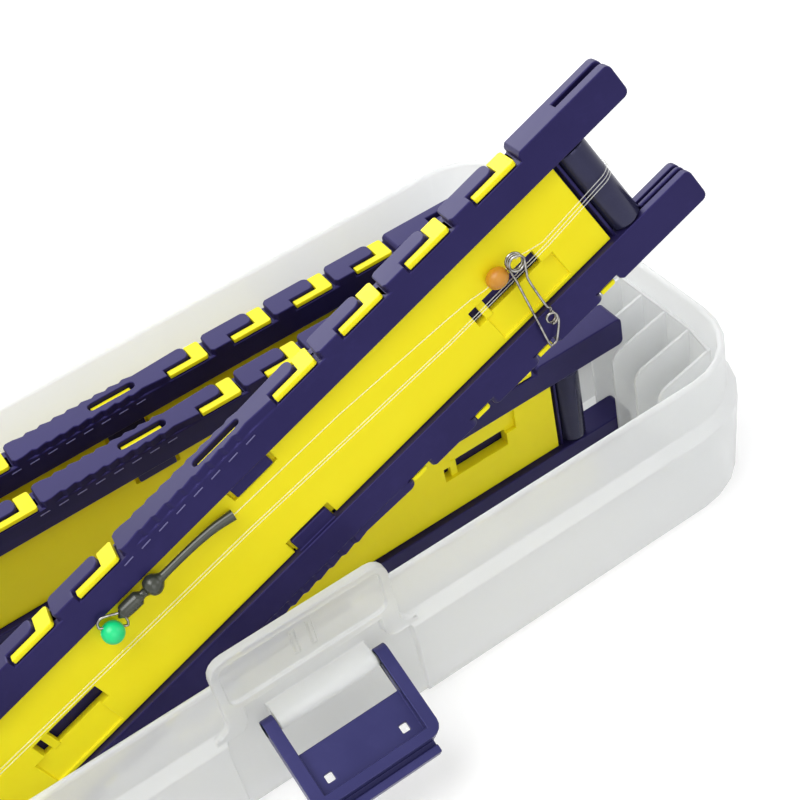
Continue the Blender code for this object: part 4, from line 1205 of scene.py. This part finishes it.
    def build_lines(self, wardrobe: Wardrobe) -> None:
        """Build and dress the leader and the hook link.

        Args:
            wardrobe: The finishes.
        """
        leader = tube("leader_strands", self.leader(), self.line_radius, self.place, 3)
        wardrobe.dress(leader, Slot.LINE, self.body, "leader_line")
        link = tube("link_strand", self.link_route(), self.line_radius, self.place, 3)
        wardrobe.dress(link, Slot.LINE, self.body, "hook_link")

    def build_wires(self, wardrobe: Wardrobe) -> None:
        """Build and dress the snap and the hoop.

        Args:
            wardrobe: The finishes.
        """
        snap = tube("snap_wire", self.snap_route(), self.wire_radius, self.place, 5)
        wardrobe.dress(snap, Slot.WIRE, self.body, "snap_link")
        bends = [self.point(spot, self.seat_plane) for spot in self.hoop]
        hoop = tube("hoop_wire", smooth_route(bends, self.wire_steps), self.wire_radius,
                    self.place, 5)
        wardrobe.dress(hoop, Slot.WIRE, self.body, "bead_link")

    def build_beads(self, wardrobe: Wardrobe) -> None:
        """Build the stop bead on the hoop's lower leg and the lead bead on the link.

        Args:
            wardrobe: The finishes.
        """
        stop, lead = self.beads
        first, last = [self.point(spot, self.seat_plane) for spot in self.hoop[7:9]]
        along = (last - first).to_track_quat("X", "Z").to_matrix().to_4x4()
        middle = Matrix.Translation(self.point(self.stop, self.seat_plane))
        stop.build(self.place @ middle @ along, self.body, wardrobe)
        middle = Matrix.Translation(self.point(self.lead, self.line_plane))
        lead.build(self.place @ middle, self.body, wardrobe)

    def build(self, wardrobe: Wardrobe) -> None:
        """Build and dress the rig.

        Args:
            wardrobe: The finishes.
        """
        self.build_lines(wardrobe)
        self.build_wires(wardrobe)
        route, radii = self.seat_route()
        seat = tube("float_seat_sleeve", route, radii, self.place, 8)
        wardrobe.dress(seat, Slot.SEAT, self.body, "float_seat")
        self.build_beads(wardrobe)
        for name, spot in self.knots:
            self.knot(name, self.point(spot, self.line_plane), wardrobe)


# ---------------------------------------------------------------- tub and latch


@dataclass
class Box:
    """The tub with its two rib combs and the latch.

    Attributes:
        body: Name of the tub and of its body.
        tub_edge: Width of the tub's round edges.
        tub_angle: Least angle that is rounded on the tub, in degrees.
        comb_edge: Width of the combs' round edges.
        latch_edge: Width of the latch's round edges.
    """

    body: str = "tub"
    tub_edge: float = 0.0004
    tub_angle: float = 20.0
    comb_edge: float = 0.00016
    latch_edge: float = 0.0003

    def build(self, wardrobe: Wardrobe) -> None:
        """Build and dress tub, combs and latch.

        Args:
            wardrobe: The finishes.
        """
        Moulding("tub", self.body, Slot.TUB, self.tub_edge,
                 least_angle=self.tub_angle).build(wardrobe)
        for side in Side:
            comb = f"{side.name.lower()}_rib_comb"
            Moulding(comb, self.body, Slot.TUB, self.comb_edge,
                     look="thin_polypropylene").build(wardrobe)
        Moulding("latch", "latch", Slot.LATCH, self.latch_edge).build(wardrobe)


# ---------------------------------------------------------------- stage


@dataclass
class Studio:
    """Floor, light and camera.

    Attributes:
        camera_place: Place of the camera.
        right: Its direction to the right.
        up: Its direction upwards.
        forward: Its direction of view.
        field_of_view: Its angle of view, in radians.
        sensor: Width of its sensor in millimetres.
        nearest: Least distance that it shows.
        aim: The point on the box that the lamps look at.
        lamps: Name, place, size and power of each lamp.
        world_light: Strength of the even light.
        floor_size: Half the floor's width.
        floor_shade: Grey of the floor.
        floor_glow: Its own light where the background is seen directly, near the box.
        far_glow: What is added to it far away.
        floor_fade: Distances between which that is added.
    """

    camera_place: tuple = (-0.05796, -0.27756, 0.326)
    right: tuple = (0.82398, -0.54028, -0.17073)
    up: tuple = (0.48896, 0.52575, 0.69607)
    forward: tuple = (0.28631, 0.65703, -0.69738)
    field_of_view: float = math.radians(28.19)
    sensor: float = 36.0
    nearest: float = 0.01
    aim: tuple = (0.02, -0.02, 0.04)
    lamps: tuple = field(default_factory=lambda: (
        ("key", (-0.40, -0.05, 1.00), 0.80, 7.2),
        ("front", (-0.15, -0.95, 0.55), 0.90, 2.4),
        ("fill", (0.75, -0.55, 0.60), 0.60, 1.2),
        ("rear", (0.18, 1.10, 0.66), 1.40, 10.5),
    ))
    world_light: float = 0.44
    floor_size: float = 6.0
    floor_shade: float = 0.66
    floor_glow: float = 0.42
    far_glow: float = 0.32
    floor_fade: tuple = (0.4, 1.5)

    def camera(self) -> None:
        """Put the camera at the photograph's place."""
        data = bpy.data.cameras.new("camera")
        data.sensor_width = self.sensor
        data.angle = self.field_of_view
        data.clip_start = self.nearest
        item = bpy.data.objects.new("camera", data)
        bpy.context.scene.collection.objects.link(item)
        rows = [(right, up, -forward, spot) for right, up, forward, spot
                in zip(self.right, self.up, self.forward, self.camera_place)]
        item.matrix_world = Matrix((*rows, (0, 0, 0, 1)))
        bpy.context.scene.camera = item

    def lamp(self, name: str, spot: tuple, size: float, power: float) -> None:
        """Add one large soft lamp that looks at the box.

        Args:
            name: Name of the lamp.
            spot: Its place.
            size: Its width in metres.
            power: Its power in watts.
        """
        data = bpy.data.lights.new(name, "AREA")
        data.shape = "DISK"
        data.size = size
        data.energy = power
        item = bpy.data.objects.new(name, data)
        bpy.context.scene.collection.objects.link(item)
        item.location = spot
        look = Vector(self.aim) - Vector(spot)
        item.rotation_euler = look.to_track_quat("-Z", "Y").to_euler()

    def seen_directly(self, tree: bpy.types.NodeTree) -> bpy.types.NodeSocket:
        """Tell the rays that show the background itself from those that light the box.

        Args:
            tree: The node tree.

        Returns:
            A socket with 1 for the first and 0 for the others.
        """
        path = tree.nodes.new("ShaderNodeLightPath")
        seen = math_node(tree, "MAXIMUM", path.outputs["Is Camera Ray"],
                         path.outputs["Is Glossy Ray"])
        return math_node(tree, "MAXIMUM", seen, path.outputs["Is Transmission Ray"])

    def world(self) -> None:
        """Light the scene evenly and show white behind it."""
        world = bpy.data.worlds.new("studio")
        bpy.context.scene.world = world
        world.use_nodes = True
        tree = world.node_tree
        background = tree.nodes["Background"]
        background.inputs["Color"].default_value = (1, 1, 1, 1)
        white = math_node(tree, "MULTIPLY", self.seen_directly(tree), 1 - self.world_light)
        strength = math_node(tree, "ADD", white, self.world_light)
        tree.links.new(strength, background.inputs["Strength"])

    def floor(self) -> None:
        """Lay the pale floor, which looks evenly white and keeps the shadow."""
        shape = bmesh.new()
        bmesh.ops.create_grid(shape, x_segments=1, y_segments=1, size=self.floor_size)
        floor = show("floor", shape)
        material = bpy.data.materials.new("pale_floor")
        material.use_nodes = True
        tree = material.node_tree
        shader = tree.nodes["Principled BSDF"]
        shader.inputs["Base Color"].default_value = (*(self.floor_shade,) * 3, 1)
        shader.inputs["Roughness"].default_value = 0.9
        shader.inputs["Specular IOR Level"].default_value = 0.1
        shader.inputs["Emission Color"].default_value = (1, 1, 1, 1)
        place = tree.nodes.new("ShaderNodeTexCoord")
        away = tree.nodes.new("ShaderNodeVectorMath")
        away.operation = "LENGTH"
        tree.links.new(place.outputs["Object"], away.inputs[0])
        far = ramp_between(tree, away.outputs["Value"], *self.floor_fade)
        added = math_node(tree, "MULTIPLY", far, self.far_glow)
        glow = math_node(tree, "ADD", added, self.floor_glow)
        lift = math_node(tree, "MULTIPLY", self.seen_directly(tree), glow)
        tree.links.new(lift, shader.inputs["Emission Strength"])
        floor.data.materials.append(material)

    def build(self) -> None:
        """Set up the whole stage."""
        self.camera()
        self.world()
        self.floor()
        for row in self.lamps:
            self.lamp(*row)
        bpy.context.scene.view_settings.view_transform = "Standard"


# ---------------------------------------------------------------- all together

RAISED_PLACE = Matrix(((0.921408, 0.132502, -0.365308, 0.018644),
                       (-0.028956, 0.960870, 0.275484, -0.046873),
                       (0.387516, -0.243255, 0.889190, 0.048724), (0, 0, 0, 1)))
SEATED = (("rear_board", (0.0004, 0.0423, 0.0021)), ("second_board", (0.0004, 0.0235, 0.0021)),
          ("front_board", (0.0004, -0.0235, 0.0021)))


def main() -> None:
    """Build every piece in order."""
    logging.basicConfig(level=logging.INFO, format="%(message)s", stream=sys.stdout)
    Studio().build()
    wardrobe = Wardrobe()
    Box().build(wardrobe)
    for name, spot in SEATED:
        Board(name, Matrix.Translation(spot)).build(wardrobe)
    Board("raised_board", RAISED_PLACE).build(wardrobe)
    Rig(RAISED_PLACE).build(wardrobe)


if __name__ == "__main__":
    main()
